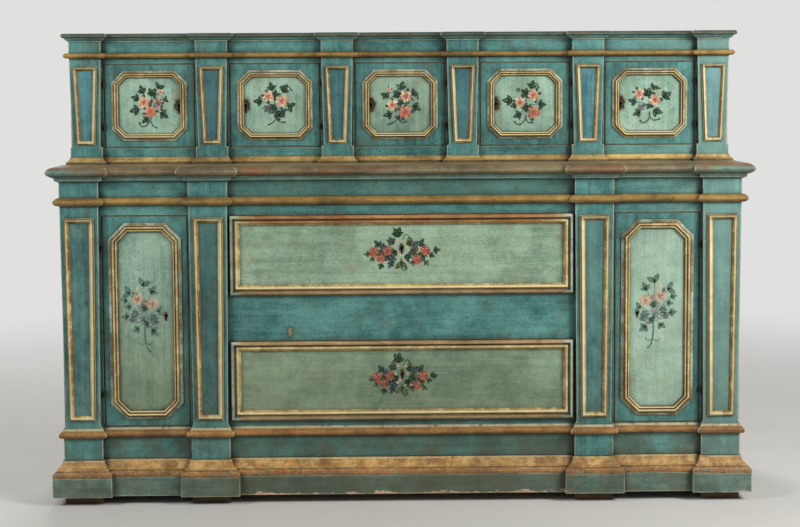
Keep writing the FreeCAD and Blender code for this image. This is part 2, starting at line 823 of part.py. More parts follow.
# Locks: a case open towards the wood, with a bridge that guides the bolt beside the key.
def lock(edge, reach, side, back, middle):
    # A door's lock: edge is the door's free edge, side points from it to the lock, and reach is
    # the distance of the key from that edge.
    def block(near, far, y, z):
        x = (f"{edge} + {near}", f"{edge} + {far}")
        if side < 0:
            x = (f"{edge} - ({far})", f"{edge} - ({near})")
        return board(x, y, z)

    tail = f"{reach} + lock_tail"
    half = "lock_height / 2"
    z = (f"{middle} - {half}", f"{middle} + {half}")
    inner_z = (f"{z[0]} + lock_wall", f"{z[1]} - lock_wall")
    inner_y = (back, f"{back} + lock_depth - lock_wall")
    case = block("lock_edge_gap", tail, (back, f"{back} + lock_depth"), z)
    bridge = f"0.35 * ({reach})"
    hollows = [
        block("lock_edge_gap + lock_wall", bridge, inner_y, inner_z),
        block(f"{bridge} + lock_wall", f"{tail} - lock_wall", inner_y, inner_z),
    ]
    bolt_y = (f"{back} + bolt_standoff", f"{back} + bolt_standoff + bolt_thick")
    bolt_z = (f"{middle} + bolt_rise - bolt_height / 2", f"{middle} + bolt_rise + bolt_height / 2")
    slot_y = (f"{bolt_y[0]} - bolt_clearance", f"{bolt_y[1]} + bolt_clearance")
    slot_z = (f"{bolt_z[0]} - bolt_clearance", f"{bolt_z[1]} + bolt_clearance")
    hollows.append(block("0", f"{bridge} + 2 * lock_wall", slot_y, slot_z))
    bolt = block("lock_edge_gap / 2", f"{tail} - lock_wall - bolt_tail_gap", bolt_y, bolt_z)
    return cut(case, fused(hollows)), bolt


fixed_leaves = []


def door(name, centre, hand, recess, frame_back, foot, height, half, backset, keyhole_rise, inset, mould):
    # hand is -1 for a door hung on its left edge, 1 for one hung on its right edge.
    body = new_body("Door")
    put(body, centre, recess, foot)
    outline = [(minus(half), "0"), (half, "0"), (half, height), (minus(half), height)]
    pad(body, draw(on_plane(body, "XZ_Plane"), outline), "frame_thick", True)
    key_x = sided(-hand, f"{half} - {backset}")
    key_z = f"{height} / 2 + {keyhole_rise}"
    keyhole(body, key_x, key_z)
    node(name + "_board", [body])
    width, tall, corner, mould_width, mould_rise = mould
    corners = octagon(width, tall, corner, f"{height} / 2")
    section = door_section(mould_width, mould_rise)
    node(name + "_moulding", [framed(corners, *section, (centre, recess, foot))])
    hinge_edge = f"{centre} + " + sided(hand, f"{half} + door_side_gap")
    ironwork = []
    for middle in (f"{foot} + {inset}", f"{foot} + {height} - {inset}"):
        fixed, moving = hinge(hinge_edge, -hand, recess, middle)
        fixed_leaves.append(fixed)
        ironwork.append(moving)
    free_edge = f"{centre} - " + sided(hand, f"({half})")
    case, bolt = lock(free_edge, backset, hand, frame_back, f"{foot} + {key_z}")
    node(name + "_ironwork", ironwork + [case])
    node(name + "_bolt", [bolt])


lower_mould = (
    "lower_octagon_width", "lower_octagon_height", "lower_octagon_corner",
    "lower_door_mould", "lower_door_mould_rise",
)
lower_door = (
    "lower_recess", "lower_frame_back", "lower_door_foot", "lower_door_height", "lower_door_half",
    "lower_backset", "lower_keyhole_rise", "lower_hinge_inset", lower_mould,
)
door("left_door", "-side_bay_at", -1, *lower_door)
door("right_door", "side_bay_at", 1, *lower_door)
upper_mould = (
    "upper_octagon_width", "upper_octagon_height", "upper_octagon_corner",
    "upper_door_mould", "upper_door_mould_rise",
)
upper_door = (
    "upper_recess", "upper_frame_back", "upper_door_foot", "upper_door_height", "upper_door_half",
    "upper_backset", "upper_keyhole_rise", "upper_hinge_inset", upper_mould,
)
# The leftmost small door hangs on its left edge, the other four on their right edges.
for k, hand in enumerate((-1, 1, 1, 1, 1)):
    door(f"small_door_{k + 1}", f"{k - 2} * upper_spacing", hand, *upper_door)
node("hinge_fixed_leaves", fixed_leaves)


# Drawers: sides dovetailed into the front, with the back and bottom between them.
def tails():
    # Tail outlines in depth and height, from the foot of the drawer box: they flare forwards.
    made = []
    for k in range(4):
        middle = f"drawer_box_height * {(k + 0.5) / 4}"
        wide = "drawer_box_height / 12 + dovetail_flare / 2"
        narrow = "drawer_box_height / 12 - dovetail_flare / 2"
        made.append([
            ("frame_thick", f"{middle} - ({narrow})"),
            ("dovetail_lap", f"{middle} - ({wide})"),
            ("dovetail_lap", f"{middle} + {wide}"),
            ("frame_thick", f"{middle} + {narrow}"),
        ])
    return made


def drawer_section():
    section = [
        ("0", "0"),
        ("0", "0.62 * drawer_mould_rise"),
        ("0.2 * drawer_mould", "drawer_mould_rise"),
        ("0.3 * drawer_mould", "drawer_mould_rise"),
        ("0.42 * drawer_mould", "0.5 * drawer_mould_rise"),
        ("0.46 * drawer_mould", "0.5 * drawer_mould_rise"),
        ("0.86 * drawer_mould", "0.42 * drawer_mould_rise"),
        ("drawer_mould", "0.1 * drawer_mould_rise"),
        ("drawer_mould", "0"),
    ]
    bends = {
        1: ("0.28 * drawer_mould", -1, False),
        3: ("0.3 * drawer_mould", 1, False),
        5: ("0.21 * drawer_mould", -1, False),
    }
    return section, bends


def drawer(name, opening):
    low = f"{opening} + drawer_end_gap"
    at = ("0", "lower_recess", low)
    front = new_body("Front")
    put(front, *at)
    outline = [
        ("-drawer_half", "0"), ("drawer_half", "0"),
        ("drawer_half", "drawer_height"), ("-drawer_half", "drawer_height"),
    ]
    pad(front, draw(on_plane(front, "XZ_Plane"), outline), "frame_thick", True)
    keyhole(front, "0", "drawer_height / 2 + drawer_keyhole_rise")
    box_low = f"{low} + drawer_box_lift"
    sides_made = []
    for side in sides:
        for tail in tails():
            socket = on_plane(front, "YZ_Plane", "Socket")
            bind(socket, "AttachmentOffset.Base.z", sided(side, "drawer_half"))
            draw(socket, [(y, f"{z} + drawer_box_lift") for y, z in tail])
            pocket(front, socket, "drawer_side_thick", side < 0)
        cheek = new_body("DrawerSide")
        put(cheek, sided(side, "drawer_half"), "lower_recess", box_low)
        outline = [("frame_thick", "0")]
        for tail in tails():
            outline.extend(tail)
        outline.append(("frame_thick", "drawer_box_height"))
        outline.append(("frame_thick + drawer_box_depth", "drawer_box_height"))
        outline.append(("frame_thick + drawer_box_depth", "0"))
        pad(cheek, draw(on_plane(cheek, "YZ_Plane"), outline), "drawer_side_thick", side > 0)
        sides_made.append(cheek)
    node(name + "_front", [front])
    x, z = "drawer_half", "drawer_height"
    corners = [("0", "0"), (x, "0"), (x, z), (minus(x), z), (minus(x), "0")]
    node(name + "_moulding", [framed(corners, *drawer_section(), at)])
    inner = "drawer_half - drawer_side_thick"
    inner_x = (minus(inner), inner)
    bottom_z = (f"{box_low} + drawer_bottom_lift", f"{box_low} + drawer_bottom_lift + drawer_bottom_thick")
    bottom = board(inner_x, ("lower_frame_back", "drawer_box_back"), bottom_z)
    back_y = ("drawer_box_back - drawer_side_thick", "drawer_box_back")
    back_z = (bottom_z[1], f"{box_low} + drawer_box_height - drawer_back_drop")
    node(name + "_box", sides_made + [bottom, board(inner_x, back_y, back_z)])
    for side in sides:
        runner_x = ("centre_bay - runner_width", "centre_bay")
        top = f"{box_low} - runner_clearance"
        runners.append(sided_board(side, runner_x, lower_depths, (f"{top} - runner_thick", top)))
        over = f"{box_low} + drawer_box_height + kicker_clearance"
        runners.append(sided_board(side, runner_x, lower_depths, (over, f"{over} + runner_thick")))
    key_z = f"{low} + drawer_height / 2 + drawer_keyhole_rise"
    top = f"{low} + drawer_height"
    case, bolt = drawer_lock(top, key_z)
    node(name + "_lock", [case])
    node(name + "_bolt", [bolt])


def drawer_lock(top, key_z):
    # The bolt stands upright and rises behind the rail over the drawer.
    half = "lock_height / 2"
    back = "lower_frame_back"
    inner_y = (back, f"{back} + lock_depth - lock_wall")
    z = (f"{key_z} - lock_tail", f"{top} - lock_edge_gap")
    case = board((minus(half), half), (back, f"{back} + lock_depth"), z)
    inner_x = (f"-{half} + lock_wall", f"{half} - lock_wall")
    bridge = f"{key_z} + 0.65 * ({top} - ({key_z}))"
    hollows = [
        board(inner_x, inner_y, (f"{z[0]} + lock_wall", f"{bridge} - lock_wall")),
        board(inner_x, inner_y, (bridge, f"{z[1]} - lock_wall")),
    ]
    bolt_x = ("bolt_rise - bolt_height / 2", "bolt_rise + bolt_height / 2")
    bolt_y = (f"{back} + bolt_standoff", f"{back} + bolt_standoff + bolt_thick")
    slot_x = (f"{bolt_x[0]} - bolt_clearance", f"{bolt_x[1]} + bolt_clearance")
    slot_y = (f"{bolt_y[0]} - bolt_clearance", f"{bolt_y[1]} + bolt_clearance")
    hollows.append(board(slot_x, slot_y, (f"{bridge} - 2 * lock_wall", top)))
    bolt = board(bolt_x, bolt_y, (f"{z[0]} + lock_wall", f"{top} - lock_edge_gap / 2"))
    return cut(case, fused(hollows)), bolt


drawer("low_drawer", "drawer_low")
drawer("top_drawer", top_drawer_low)
node("drawer_runners", runners)

doc.recompute()
for thing in doc.Objects:
    if "Invalid" in thing.State or "Error" in thing.State:
        raise RuntimeError(f"{thing.Name} failed: {thing.State}")
for thing in sub_parts:
    if thing.Shape.isNull() or not thing.Shape.isValid() or not thing.Shape.Solids:
        raise RuntimeError(f"{thing.Label} has no sound shape")
os.makedirs("parts", exist_ok=True)
for thing in sub_parts:
    thing.Shape.exportStep(f"parts/{thing.Label}.step")
print(len(sub_parts), "sub-parts written")
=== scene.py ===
import math
import random
import bmesh
import bpy
from mathutils import Matrix, Vector


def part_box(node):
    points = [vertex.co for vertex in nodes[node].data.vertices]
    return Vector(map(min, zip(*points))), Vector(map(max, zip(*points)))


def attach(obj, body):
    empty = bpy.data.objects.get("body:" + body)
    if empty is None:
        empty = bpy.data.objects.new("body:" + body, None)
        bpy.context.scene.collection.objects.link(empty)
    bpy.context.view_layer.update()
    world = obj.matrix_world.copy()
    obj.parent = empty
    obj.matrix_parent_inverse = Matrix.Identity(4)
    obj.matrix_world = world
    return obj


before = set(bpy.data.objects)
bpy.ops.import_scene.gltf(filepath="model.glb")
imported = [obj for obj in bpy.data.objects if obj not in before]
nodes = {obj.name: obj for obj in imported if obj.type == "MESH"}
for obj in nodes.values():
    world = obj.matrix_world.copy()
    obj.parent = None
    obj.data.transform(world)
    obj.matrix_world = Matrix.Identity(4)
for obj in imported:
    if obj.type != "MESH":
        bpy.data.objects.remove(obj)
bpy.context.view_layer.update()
scene = bpy.context.scene
caseSplit = 1.09  # height where the upper case starts
bay = 0.4222  # width of one bay of the upper case
print("cupboard loaded,", len(nodes), "nodes")


def screen(red, green, blue):  # 0-255 screen colour to scene colour
    def straight(part):
        part = part / 255
        return part / 12.92 if part <= 0.04045 else ((part + 0.055) / 1.055) ** 2.4
    return (straight(red), straight(green), straight(blue), 1.0)


# darker and browner towards the floor, in clouds
lowDarkening = {"colour": (82, 76, 52), "height": (0.55, 0.04)}


class Finish:
    # one material, with short calls for the nodes that the paints share
    def __init__(self, name):
        self.material = bpy.data.materials.new(name)
        self.material.use_nodes = True
        self.tree = self.material.node_tree
        self.tree.nodes.clear()
        self.shader = self.add("ShaderNodeBsdfPrincipled")
        self.output = self.add("ShaderNodeOutputMaterial", Surface=self.shader.outputs["BSDF"])
        coords = self.add("ShaderNodeTexCoord")
        self.place = coords.outputs["Object"]
        self.x, self.z = self.split(self.place, "X", "Z")
        self.faceX, self.faceY = self.split(coords.outputs["Normal"], "X", "Y")
        self.kept = {}
        self.form = None

    def add(self, kind, **inputs):
        node = self.tree.nodes.new(kind)
        for name, value in inputs.items():
            self.feed(node.inputs[name], value)
        return node

    def feed(self, socket, value):
        if isinstance(value, bpy.types.NodeSocket):
            self.tree.links.new(value, socket)
        else:
            socket.default_value = value

    def split(self, vector, *names):
        parts = self.add("ShaderNodeSeparateXYZ", Vector=vector)
        return [parts.outputs[name] for name in names]

    def calc(self, operation, *values):
        node = self.add("ShaderNodeMath")
        node.operation = operation
        for socket, value in zip(node.inputs, values):
            self.feed(socket, value)
        return node.outputs[0]

    def times(self, first, *others):
        for other in others:
            first = self.calc("MULTIPLY", first, other)
        return first

    def scaled(self, value, by, plus):
        return self.calc("MULTIPLY_ADD", value, by, plus)

    def gap(self, value, centre):
        return self.calc("ABSOLUTE", self.calc("SUBTRACT", value, centre))

    def aside(self):  # distance from the cupboard's middle, to either side
        return self.calc("ABSOLUTE", self.x)

    def fade(self, value, start, end):  # soft step from 0 at start to 1 at end
        node = self.add("ShaderNodeMapRange")
        node.interpolation_type = "SMOOTHSTEP"
        for socket, setting in zip(node.inputs, (value, start, end, 0.0, 1.0)):
            self.feed(socket, setting)
        return node.outputs[0]

    def mix(self, share, under, over, blend="MIX"):
        node = self.add("ShaderNodeMix")
        node.data_type = "RGBA"
        node.blend_type = blend
        for place, value in ((0, share), (6, under), (7, over)):
            self.feed(node.inputs[place], value)
        return node.outputs[2]

    def tones(self, share, look):
        return self.mix(share, screen(*look["dark"]), screen(*look["light"]))

    def wash(self, colour, tone, *shares):  # one plain tone over a colour
        return self.mix(self.times(*shares), colour, screen(*tone))

    def mark(self, colour, look, value, *shares):  # a wash that comes in across a range of a value
        ranged = self.fade(value, *look["across"])
        return self.wash(colour, look["colour"], ranged, *shares, look["share"])

    def noise(self, scale, detail, rough, shift=0.0):
        size = scale if isinstance(scale, tuple) else (scale,) * 3
        moved = (shift, shift * 0.7, -shift)
        mapping = self.add("ShaderNodeMapping", Vector=self.place, Location=moved, Scale=size)
        return self.add("ShaderNodeTexNoise", Vector=mapping.outputs[0], Scale=1.0, Detail=detail,
                        Roughness=rough).outputs[0]

    def edges(self, reach):  # 0 on a flat, rising close to an edge
        bevel = self.add("ShaderNodeBevel", Radius=reach)
        bevel.samples = 4
        dot = self.add("ShaderNodeVectorMath")
        dot.operation = "DOT_PRODUCT"
        self.feed(dot.inputs[0], bevel.outputs[0])
        self.feed(dot.inputs[1], self.add("ShaderNodeNewGeometry").outputs["Normal"])
        return self.calc("SUBTRACT", 1.0, dot.outputs["Value"])

    def crevice(self, reach):  # 1 in the open, falling into corners
        shade = self.add("ShaderNodeAmbientOcclusion", Distance=reach)
        shade.samples = 6
        return shade.outputs["AO"]

    def grainTone(self, grain):  # brush marks along the grain, specks and clouds, about 0.5
        if grain not in self.kept:
            long = {"x": (2.5, 60, 60), "y": (60, 2.5, 60), "z": (60, 60, 2.5)}[grain]
            short = {"x": (14, 150, 150), "y": (150, 14, 150), "z": (150, 150, 14)}[grain]
            stroke = self.noise(long, 5, 0.65)
            bristle = self.noise(short, 5, 0.7, 8.3)
            speck = self.noise(150, 4, 0.65, 2.3)
            blotch = self.noise(21, 6, 0.62, 6.6)
            cloud = self.noise(4.5, 3, 0.5, 5.1)
            painted = ((cloud, 1.3), (blotch, 1.5), (speck, 0.9), (bristle, 0.8), (stroke, 1.1))
            wooden = ((cloud, 0.5), (blotch, 0.3), (speck, 0.5), (bristle, 1.8), (stroke, 2.4))
            for kind, parts in ((grain, painted), (grain + "Wood", wooden)):
                tone = 0.5 - sum(weight for part, weight in parts) / 2
                for part, weight in parts:
                    tone = self.scaled(part, weight, tone)
                self.kept[kind] = tone
            self.kept["height"] = self.calc("ADD", bristle, speck)
        return self.kept[grain]

    def paint(self, look, grain, boards=None):  # boards: a tone for each board
        tone = self.grainTone(grain)
        if look["wood"]:
            tone = self.kept[grain + "Wood"]
        if boards is not None:
            tone = self.scaled(boards, 0.9, tone)
        colour = self.tones(self.fade(tone, -0.25, 1.25), look)
        stain = self.fade(self.noise(13, 6, 0.7, 7.7), 0.50, 0.70)
        colour = self.wash(colour, look["stain"], stain, look["stains"])
        fleck = self.fade(self.noise(190, 3, 0.55, 3.9), 0.61, 0.68)
        return self.wash(colour, look["fleck"], fleck, look["flecks"])

    def oldGilt(self, look, grain):  # gilding worn brown in some places and bright in others
        colour = self.paint(look, grain)
        thin = self.fade(self.noise(34, 6, 0.7, 12.7), 0.47, 0.60)
        colour = self.wash(colour, look["thin"], thin, 0.6)
        clean = self.fade(self.noise(27, 5, 0.68, 14.2), 0.50, 0.62)
        return self.wash(colour, look["clean"], clean, 0.55)

    def swell(self, height, rise):  # rounds a moulding's crests in the light
        self.form = self.add("ShaderNodeBump", Strength=1.0, Distance=rise, Height=height).outputs[0]

    def weather(self, colour, look, low=0.0):
        # paint rubbed off along the edges with a painted highlight there, soot and painted shade in the
        # corners, and darker towards the floor
        # pale line along every edge: rubbed paint and a painted highlight where a rounded edge catches
        # light
        edgeWearAndHighlight = self.fade(self.edges(look["edgeWearAndHighlightWidth"]), 0.015, 0.11)
        patchy = self.fade(self.noise(40, 5, 0.7, 9.1), 0.30, 0.50)
        colour = self.wash(colour, look["edgeWearAndHighlight"], edgeWearAndHighlight, patchy, look["edgeWearAndHighlightShare"])
        if low:
            # darker towards the floor
            rise = self.fade(self.z, *lowDarkening["height"])
            cloudy = self.fade(self.noise(9, 6, 0.66, 1.7), 0.34, 0.62)
            colour = self.wash(colour, lowDarkening["colour"], rise, cloudy, low)
        # painted shade and soot: darker into corners and recesses, from ambient occlusion
        cornerShade = self.fade(self.crevice(0.03), 0.92, 0.36)
        return self.wash(colour, look["cornerSootAndShade"], cornerShade, look["cornerSootAndShadeShare"])

    def done(self, colour, rough, bump=0.3):
        surface = self.shader.inputs
        self.feed(surface["Base Color"], colour)
        self.feed(surface["Specular IOR Level"], 0.35)
        if "height" in self.kept:
            height = self.kept["height"]
            relief = self.add("ShaderNodeBump", Strength=bump, Distance=0.001, Height=height)
            if self.form:
                self.feed(relief.inputs["Normal"], self.form)
            self.feed(surface["Normal"], relief.outputs[0])
            rough = self.scaled(height, 0.3, rough - 0.3)
        self.feed(surface["Roughness"], rough)
        return self.material


# Paints: two tones, what shows through, how far it is worn with a painted highlight along its edges, and
# how much soot and painted shade its corners take
worn = {
    "stain": (84, 90, 66), "stains": 0.55, "fleck": (34, 40, 32), "flecks": 0.65,
    "edgeWearAndHighlight": (206, 200, 166), "edgeWearAndHighlightShare": 0.95, "edgeWearAndHighlightWidth": 0.006, "cornerSootAndShade": (16, 13, 9), "cornerSootAndShadeShare": 0.96,
    "wood": False,
}
teal = dict(worn, dark=(32, 80, 80), light=(98, 156, 150))
lowField = dict(worn, dark=(34, 76, 78), light=(100, 145, 140), stain=(104, 98, 70), stains=0.4)
highField = dict(worn, dark=(30, 84, 92), light=(98, 154, 160), stains=0.25)
mint = dict(worn, dark=(99, 128, 108), light=(165, 192, 166), stain=(136, 140, 106), flecks=0.55)
doorMint = dict(mint, dark=(98, 130, 116), light=(166, 196, 176))
turquoise = dict(mint, dark=(108, 143, 126), light=(173, 207, 186))
gilt = dict(
    worn, dark=(104, 78, 40), light=(220, 190, 118), stain=(110, 62, 34), stains=0.6,
    fleck=(52, 40, 24), flecks=0.85, edgeWearAndHighlight=(232, 218, 170), edgeWearAndHighlightShare=0.6, edgeWearAndHighlightWidth=0.0025,
    cornerSootAndShadeShare=0.97, thin=(132, 84, 50), clean=(242, 226, 172))
dullGilt = dict(gilt, dark=(76, 56, 26), light=(176, 142, 78), stains=0.45)
ogeeGilt = dict(
    gilt, dark=(122, 84, 42), light=(224, 178, 106), stain=(132, 66, 38), clean=(214, 186, 122))
warmGilt = dict(gilt, dark=(92, 60, 30), light=(186, 138, 78))
redBrown = dict(gilt, dark=(92, 60, 34), light=(190, 132, 78), stain=(140, 66, 40), stains=0.7)
greyGreen = dict(worn, dark=(58, 86, 80), light=(120, 148, 134), stain=(100, 94, 70))
dullCornice = dict(
    greyGreen, dark=(32, 50, 46), light=(82, 99, 87), stain=(100, 88, 66), stains=0.7, edgeWearAndHighlightShare=0.6)
brownTop = dict(worn, dark=(78, 68, 46), light=(170, 150, 108), stain=(140, 78, 46), stains=0.7)
brownNose = dict(brownTop, dark=(62, 56, 40), light=(138, 128, 98), stains=0.55)
rubbedTop = dict(brownTop, dark=(74, 54, 38), light=(150, 106, 72))
brownEdge = dict(worn, dark=(78, 70, 48), light=(158, 144, 108))
wornEdge = dict(worn, dark=(100, 78, 52), light=(190, 162, 116), stain=(132, 74, 46), stains=0.6)
paleRimAndHighlight = dict(worn, dark=(104, 120, 108), light=(204, 208, 186))
rawWood = dict(
    worn, dark=(90, 66, 42), light=(182, 146, 104), stain=(96, 70, 46), stains=0.35,
    flecks=0.3, edgeWearAndHighlightShare=0.2, cornerSootAndShadeShare=0.8, wood=True)
footWood = dict(rawWood, light=(158, 124, 96))
chippedWood = dict(rawWood, dark=(120, 84, 62), light=(222, 192, 160))


def hold(names, material):
    for name in names:
        slots = nodes[name].data.materials
        slots.clear()
        slots.append(material)


def plainPaint(name, look, grain, rough, low=0.0):
    coat = Finish(name)
    colour = coat.weather(coat.paint(look, grain), look, low)
    return coat.done(colour, rough)


# Carcass boards: raw wood inside, teal outside
rawBoards = plainPaint("rawBoards", rawWood, "x", 0.75)
hold(["lower_shelves", "lower_floor", "upper_floor_and_top"], rawBoards)
planks = {"halfWidth": 1.085, "lower": 7, "upper": 6, "joint": (30, 22, 15)}


def plankPaint():
    # each back plank has its own tone, with a dark line at its joints
    coat = Finish("rawPlanks")
    high = coat.calc("GREATER_THAN", coat.z, caseSplit)
    counts = coat.scaled(high, planks["upper"] - planks["lower"], planks["lower"])
    along = coat.times(coat.scaled(coat.x, 0.5 / planks["halfWidth"], 0.5), counts)
    tone = coat.add("ShaderNodeTexWhiteNoise")
    tone.noise_dimensions = "1D"
    coat.feed(tone.inputs["W"], coat.scaled(counts, 20, coat.calc("FLOOR", along)))
    colour = coat.paint(rawWood, "z", coat.calc("SUBTRACT", tone.outputs["Value"], 0.5))
    joint = coat.fade(coat.gap(coat.calc("FRACT", along), 0.5), 0.485, 0.495)
    colour = coat.wash(colour, planks["joint"], joint, 0.85)
    return coat.done(coat.weather(colour, rawWood), 0.75)


hold(["back_planks"], plankPaint())
hold(["drawer_runners"], plainPaint("rawRunners", rawWood, "y", 0.75))
endBoards = {"inner": 1.1}  # raw wood nearer the middle than this


def endPaint():
    coat = Finish("endBoards")
    inside = coat.calc("LESS_THAN", coat.aside(), endBoards["inner"])
    colour = coat.mix(inside, coat.paint(teal, "z"), coat.paint(rawWood, "z"))
    return coat.done(coat.weather(colour, teal, 0.5), 0.62)


hold(["lower_uprights", "upper_uprights"], endPaint())
# an old repair between the drawers, painted brown shade in the middle over and under them, and a paler
# right end painted as light
railWear = {
    "repair": {"at": (-0.367, 0.562), "size": (0.009, 0.017), "rim": (36, 54, 50),
               "colour": (142, 128, 96)},
    "middleShade": {"across": (0.66, 0.5), "over": (0.97, 0.985), "under": (0.255, 0.235), "share": 0.42,
              "colour": (56, 72, 52)},
    "pale": {"across": (0.66, 1.0), "share": 0.2, "colour": (148, 176, 162)},
}


def ovalReach(coat, at, size):  # 0 in the middle of an oval, 1 on its outline
    dx = coat.calc("DIVIDE", coat.calc("SUBTRACT", coat.x, at[0]), size[0])
    dz = coat.calc("DIVIDE", coat.calc("SUBTRACT", coat.z, at[1]), size[1])
    return coat.calc("ADD", coat.times(dx, dx), coat.times(dz, dz))


def railPaint():
    coat = Finish("faceFrames")
    repair, middleShade = railWear["repair"], railWear["middleShade"]
    colour = coat.paint(teal, "x")
    reach = ovalReach(coat, repair["at"], repair["size"])
    reach = coat.scaled(coat.noise(110, 4, 0.65), 2.4, reach)
    colour = coat.wash(colour, repair["rim"], coat.fade(reach, 4.2, 2.0), 0.5)
    colour = coat.wash(colour, repair["colour"], coat.fade(reach, 2.2, 1.5), 0.9)
    over = coat.fade(coat.z, *middleShade["over"])
    level = coat.calc("MAXIMUM", over, coat.fade(coat.z, *middleShade["under"]))
    low = coat.calc("LESS_THAN", coat.z, caseSplit)
    # painted shade: brown in the middle, on the frieze over the drawers and on the board below them
    colour = coat.mark(colour, middleShade, coat.aside(), level, low)
    # painted light: paler towards the right end
    colour = coat.mark(colour, railWear["pale"], coat.x)
    behind = coat.calc("GREATER_THAN", coat.faceY, 0.5)
    colour = coat.mix(behind, colour, coat.paint(rawWood, "x"))
    return coat.done(coat.weather(colour, dict(teal, edgeWearAndHighlightShare=0.45), 0.7), 0.6)


hold(["lower_face_frame", "upper_face_frame"], railPaint())
# darker on the middle board, and raw wood along the lower edge there and at the right corner
plinthWear = {
    "darkerMiddle": {"across": (0.62, 0.5), "share": 0.55, "colour": (66, 70, 50)},
    "chips": {"height": (0.0055, 0.0015), "ragged": 0.06, "middle": (0.55, 0.53),
              "corner": (1.09, 1.12)},
}


def plinthPaint():
    coat = Finish("plinthPaint")
    chips = plinthWear["chips"]
    colour = coat.mark(coat.paint(greyGreen, "x"), plinthWear["darkerMiddle"], coat.aside())
    colour = coat.weather(colour, greyGreen, 0.5)
    reach = coat.scaled(coat.noise((26, 60, 60), 6, 0.7, 3.1), -chips["ragged"], coat.z)
    broken = coat.fade(reach, *chips["height"])
    middle = coat.fade(coat.aside(), *chips["middle"])
    corner = coat.times(coat.fade(coat.x, *chips["corner"]), 0.8)
    broken = coat.times(broken, coat.calc("MAXIMUM", middle, corner))
    return coat.done(coat.mix(broken, colour, coat.paint(chippedWood, "x")), 0.68)


hold(["plinth"], plinthPaint())
hold(["feet"], plainPaint("footWood", footWood, "x", 0.8, 0.4))
print("carcass boards painted")

# Pilasters: a tapered gilt frame with a bluer field inside it
pilasterFrames = {
    "lower": {"low": 0.277, "high": 0.943, "foot": 0.0435, "top": 0.0495, "mould": 0.019,
              "centres": (1.0455, 0.6285)},
    "upper": {"low": 1.173, "high": 1.435, "foot": 0.031, "top": 0.0415, "mould": 0.015, "spacing": bay},
}


def taperDepth(coat):
    # distance in from the outline of the nearest pilaster frame, as a share of its moulding
    away = coat.aside()
    depths = []
    for case in pilasterFrames.values():
        if "centres" in case:
            across = coat.calc("MINIMUM", *(coat.gap(away, centre) for centre in case["centres"]))
        else:
            turn = coat.calc("FRACT", coat.calc("DIVIDE", coat.x, case["spacing"]))
            across = coat.times(coat.gap(turn, 0.5), case["spacing"])
        slope = (case["top"] - case["foot"]) / (case["high"] - case["low"])
        half = coat.scaled(coat.z, slope, case["foot"] - slope * case["low"])
        side = coat.calc("SUBTRACT", half, across)
        ends = coat.calc("MINIMUM", coat.calc("SUBTRACT", coat.z, case["low"]),
                         coat.calc("SUBTRACT", case["high"], coat.z))
        depths.append(coat.times(coat.calc("MINIMUM", side, ends), 1 / case["mould"]))
    return coat.calc("MAXIMUM", *depths)


# fields darkened towards the middle as painted shade, and a paler right end as painted light
pilasterWear = {
    "shadedFields": {"across": (0.7, 0.1), "left": (-0.98, -0.7), "share": 0.42, "colour": (38, 66, 62)},
    "pale": {"across": (0.7, 1.0), "share": 0.24, "colour": (158, 190, 178)},
}


def pilasterPaint():
    coat = Finish("pilasterPaint")
    shadedFields = pilasterWear["shadedFields"]
    field = coat.calc("GREATER_THAN", taperDepth(coat), 0.5)
    upper = coat.calc("GREATER_THAN", coat.z, caseSplit)
    inside = coat.mix(upper, coat.paint(lowField, "z"), coat.paint(highField, "z"))
    colour = coat.mix(field, coat.paint(teal, "z"), inside)
    # painted shade on the fields towards the middle
    colour = coat.mark(colour, shadedFields, coat.x, coat.fade(coat.x, *shadedFields["left"]), field)
    # painted light: paler towards the right end
    colour = coat.mark(colour, pilasterWear["pale"], coat.x)
    return coat.done(coat.weather(colour, teal, 0.45), 0.6)


# depths are shares of the moulding, and heights are in metres
# the bright tone and the crest tone are painted highlights, the dark tone is painted shade at the foot and
# in the groove
frameWear = {
    "ledge": (0.14, 0.18), "shadedGroove": 0.19, "crest": 0.42, "foot": (0.84, 0.96), "swell": 0.005,
    "lowTop": (0.921, 0.927), "lowEnd": (1.0, 0.99), "highTop": (1.418, 1.424), "highlightedUprightHalf": 0.49,
    "bright": (242, 230, 180), "crestHighlight": (240, 226, 176), "dull": (96, 82, 54), "dark": (48, 32, 17),
}


def frameGilt():
    # a brown ledge outside, a gilt crest with a painted highlight, and a slope down to a foot in painted
    # shade, as is the groove;
    # the upright nearer the cupboard's middle is brighter with a painted highlight, and the top bars are
    # dulled
    coat = Finish("frameGilt")
    depth = taperDepth(coat)
    ledge = coat.fade(depth, *frameWear["ledge"])
    colour = coat.mix(ledge, coat.paint(brownEdge, "z"), coat.oldGilt(gilt, "z"))
    turn = coat.calc("FRACT", coat.calc("DIVIDE", coat.aside(), bay))
    inner = coat.calc("LESS_THAN", turn, frameWear["highlightedUprightHalf"])
    # painted highlight on the upright nearer the middle
    colour = coat.wash(colour, frameWear["bright"], inner, 0.45)
    # painted highlight along the crest
    crest = coat.fade(coat.gap(depth, frameWear["crest"]), 0.2, 0.06)
    colour = coat.wash(colour, frameWear["crestHighlight"], crest, 0.5)
    low, end, high = (coat.fade(coat.z, *frameWear[bar]) for bar in ("lowTop", "lowEnd", "highTop"))
    topBars = coat.calc("MAXIMUM", coat.times(low, end), high)
    colour = coat.wash(colour, frameWear["dull"], topBars, 0.5)
    ridge = coat.times(coat.fade(depth, 0.1, frameWear["crest"]), coat.fade(depth, 1.0, 0.5))
    coat.swell(ridge, frameWear["swell"])
    # painted shade in the groove and at the foot of the slope
    shadedGroove = coat.fade(coat.gap(depth, frameWear["shadedGroove"]), 0.08, 0.02)
    outline = coat.calc("MAXIMUM", shadedGroove, coat.fade(depth, *frameWear["foot"]))
    colour = coat.wash(colour, frameWear["dark"], outline, 0.9)
    return coat.done(coat.weather(colour, gilt, 0.65), 0.45)


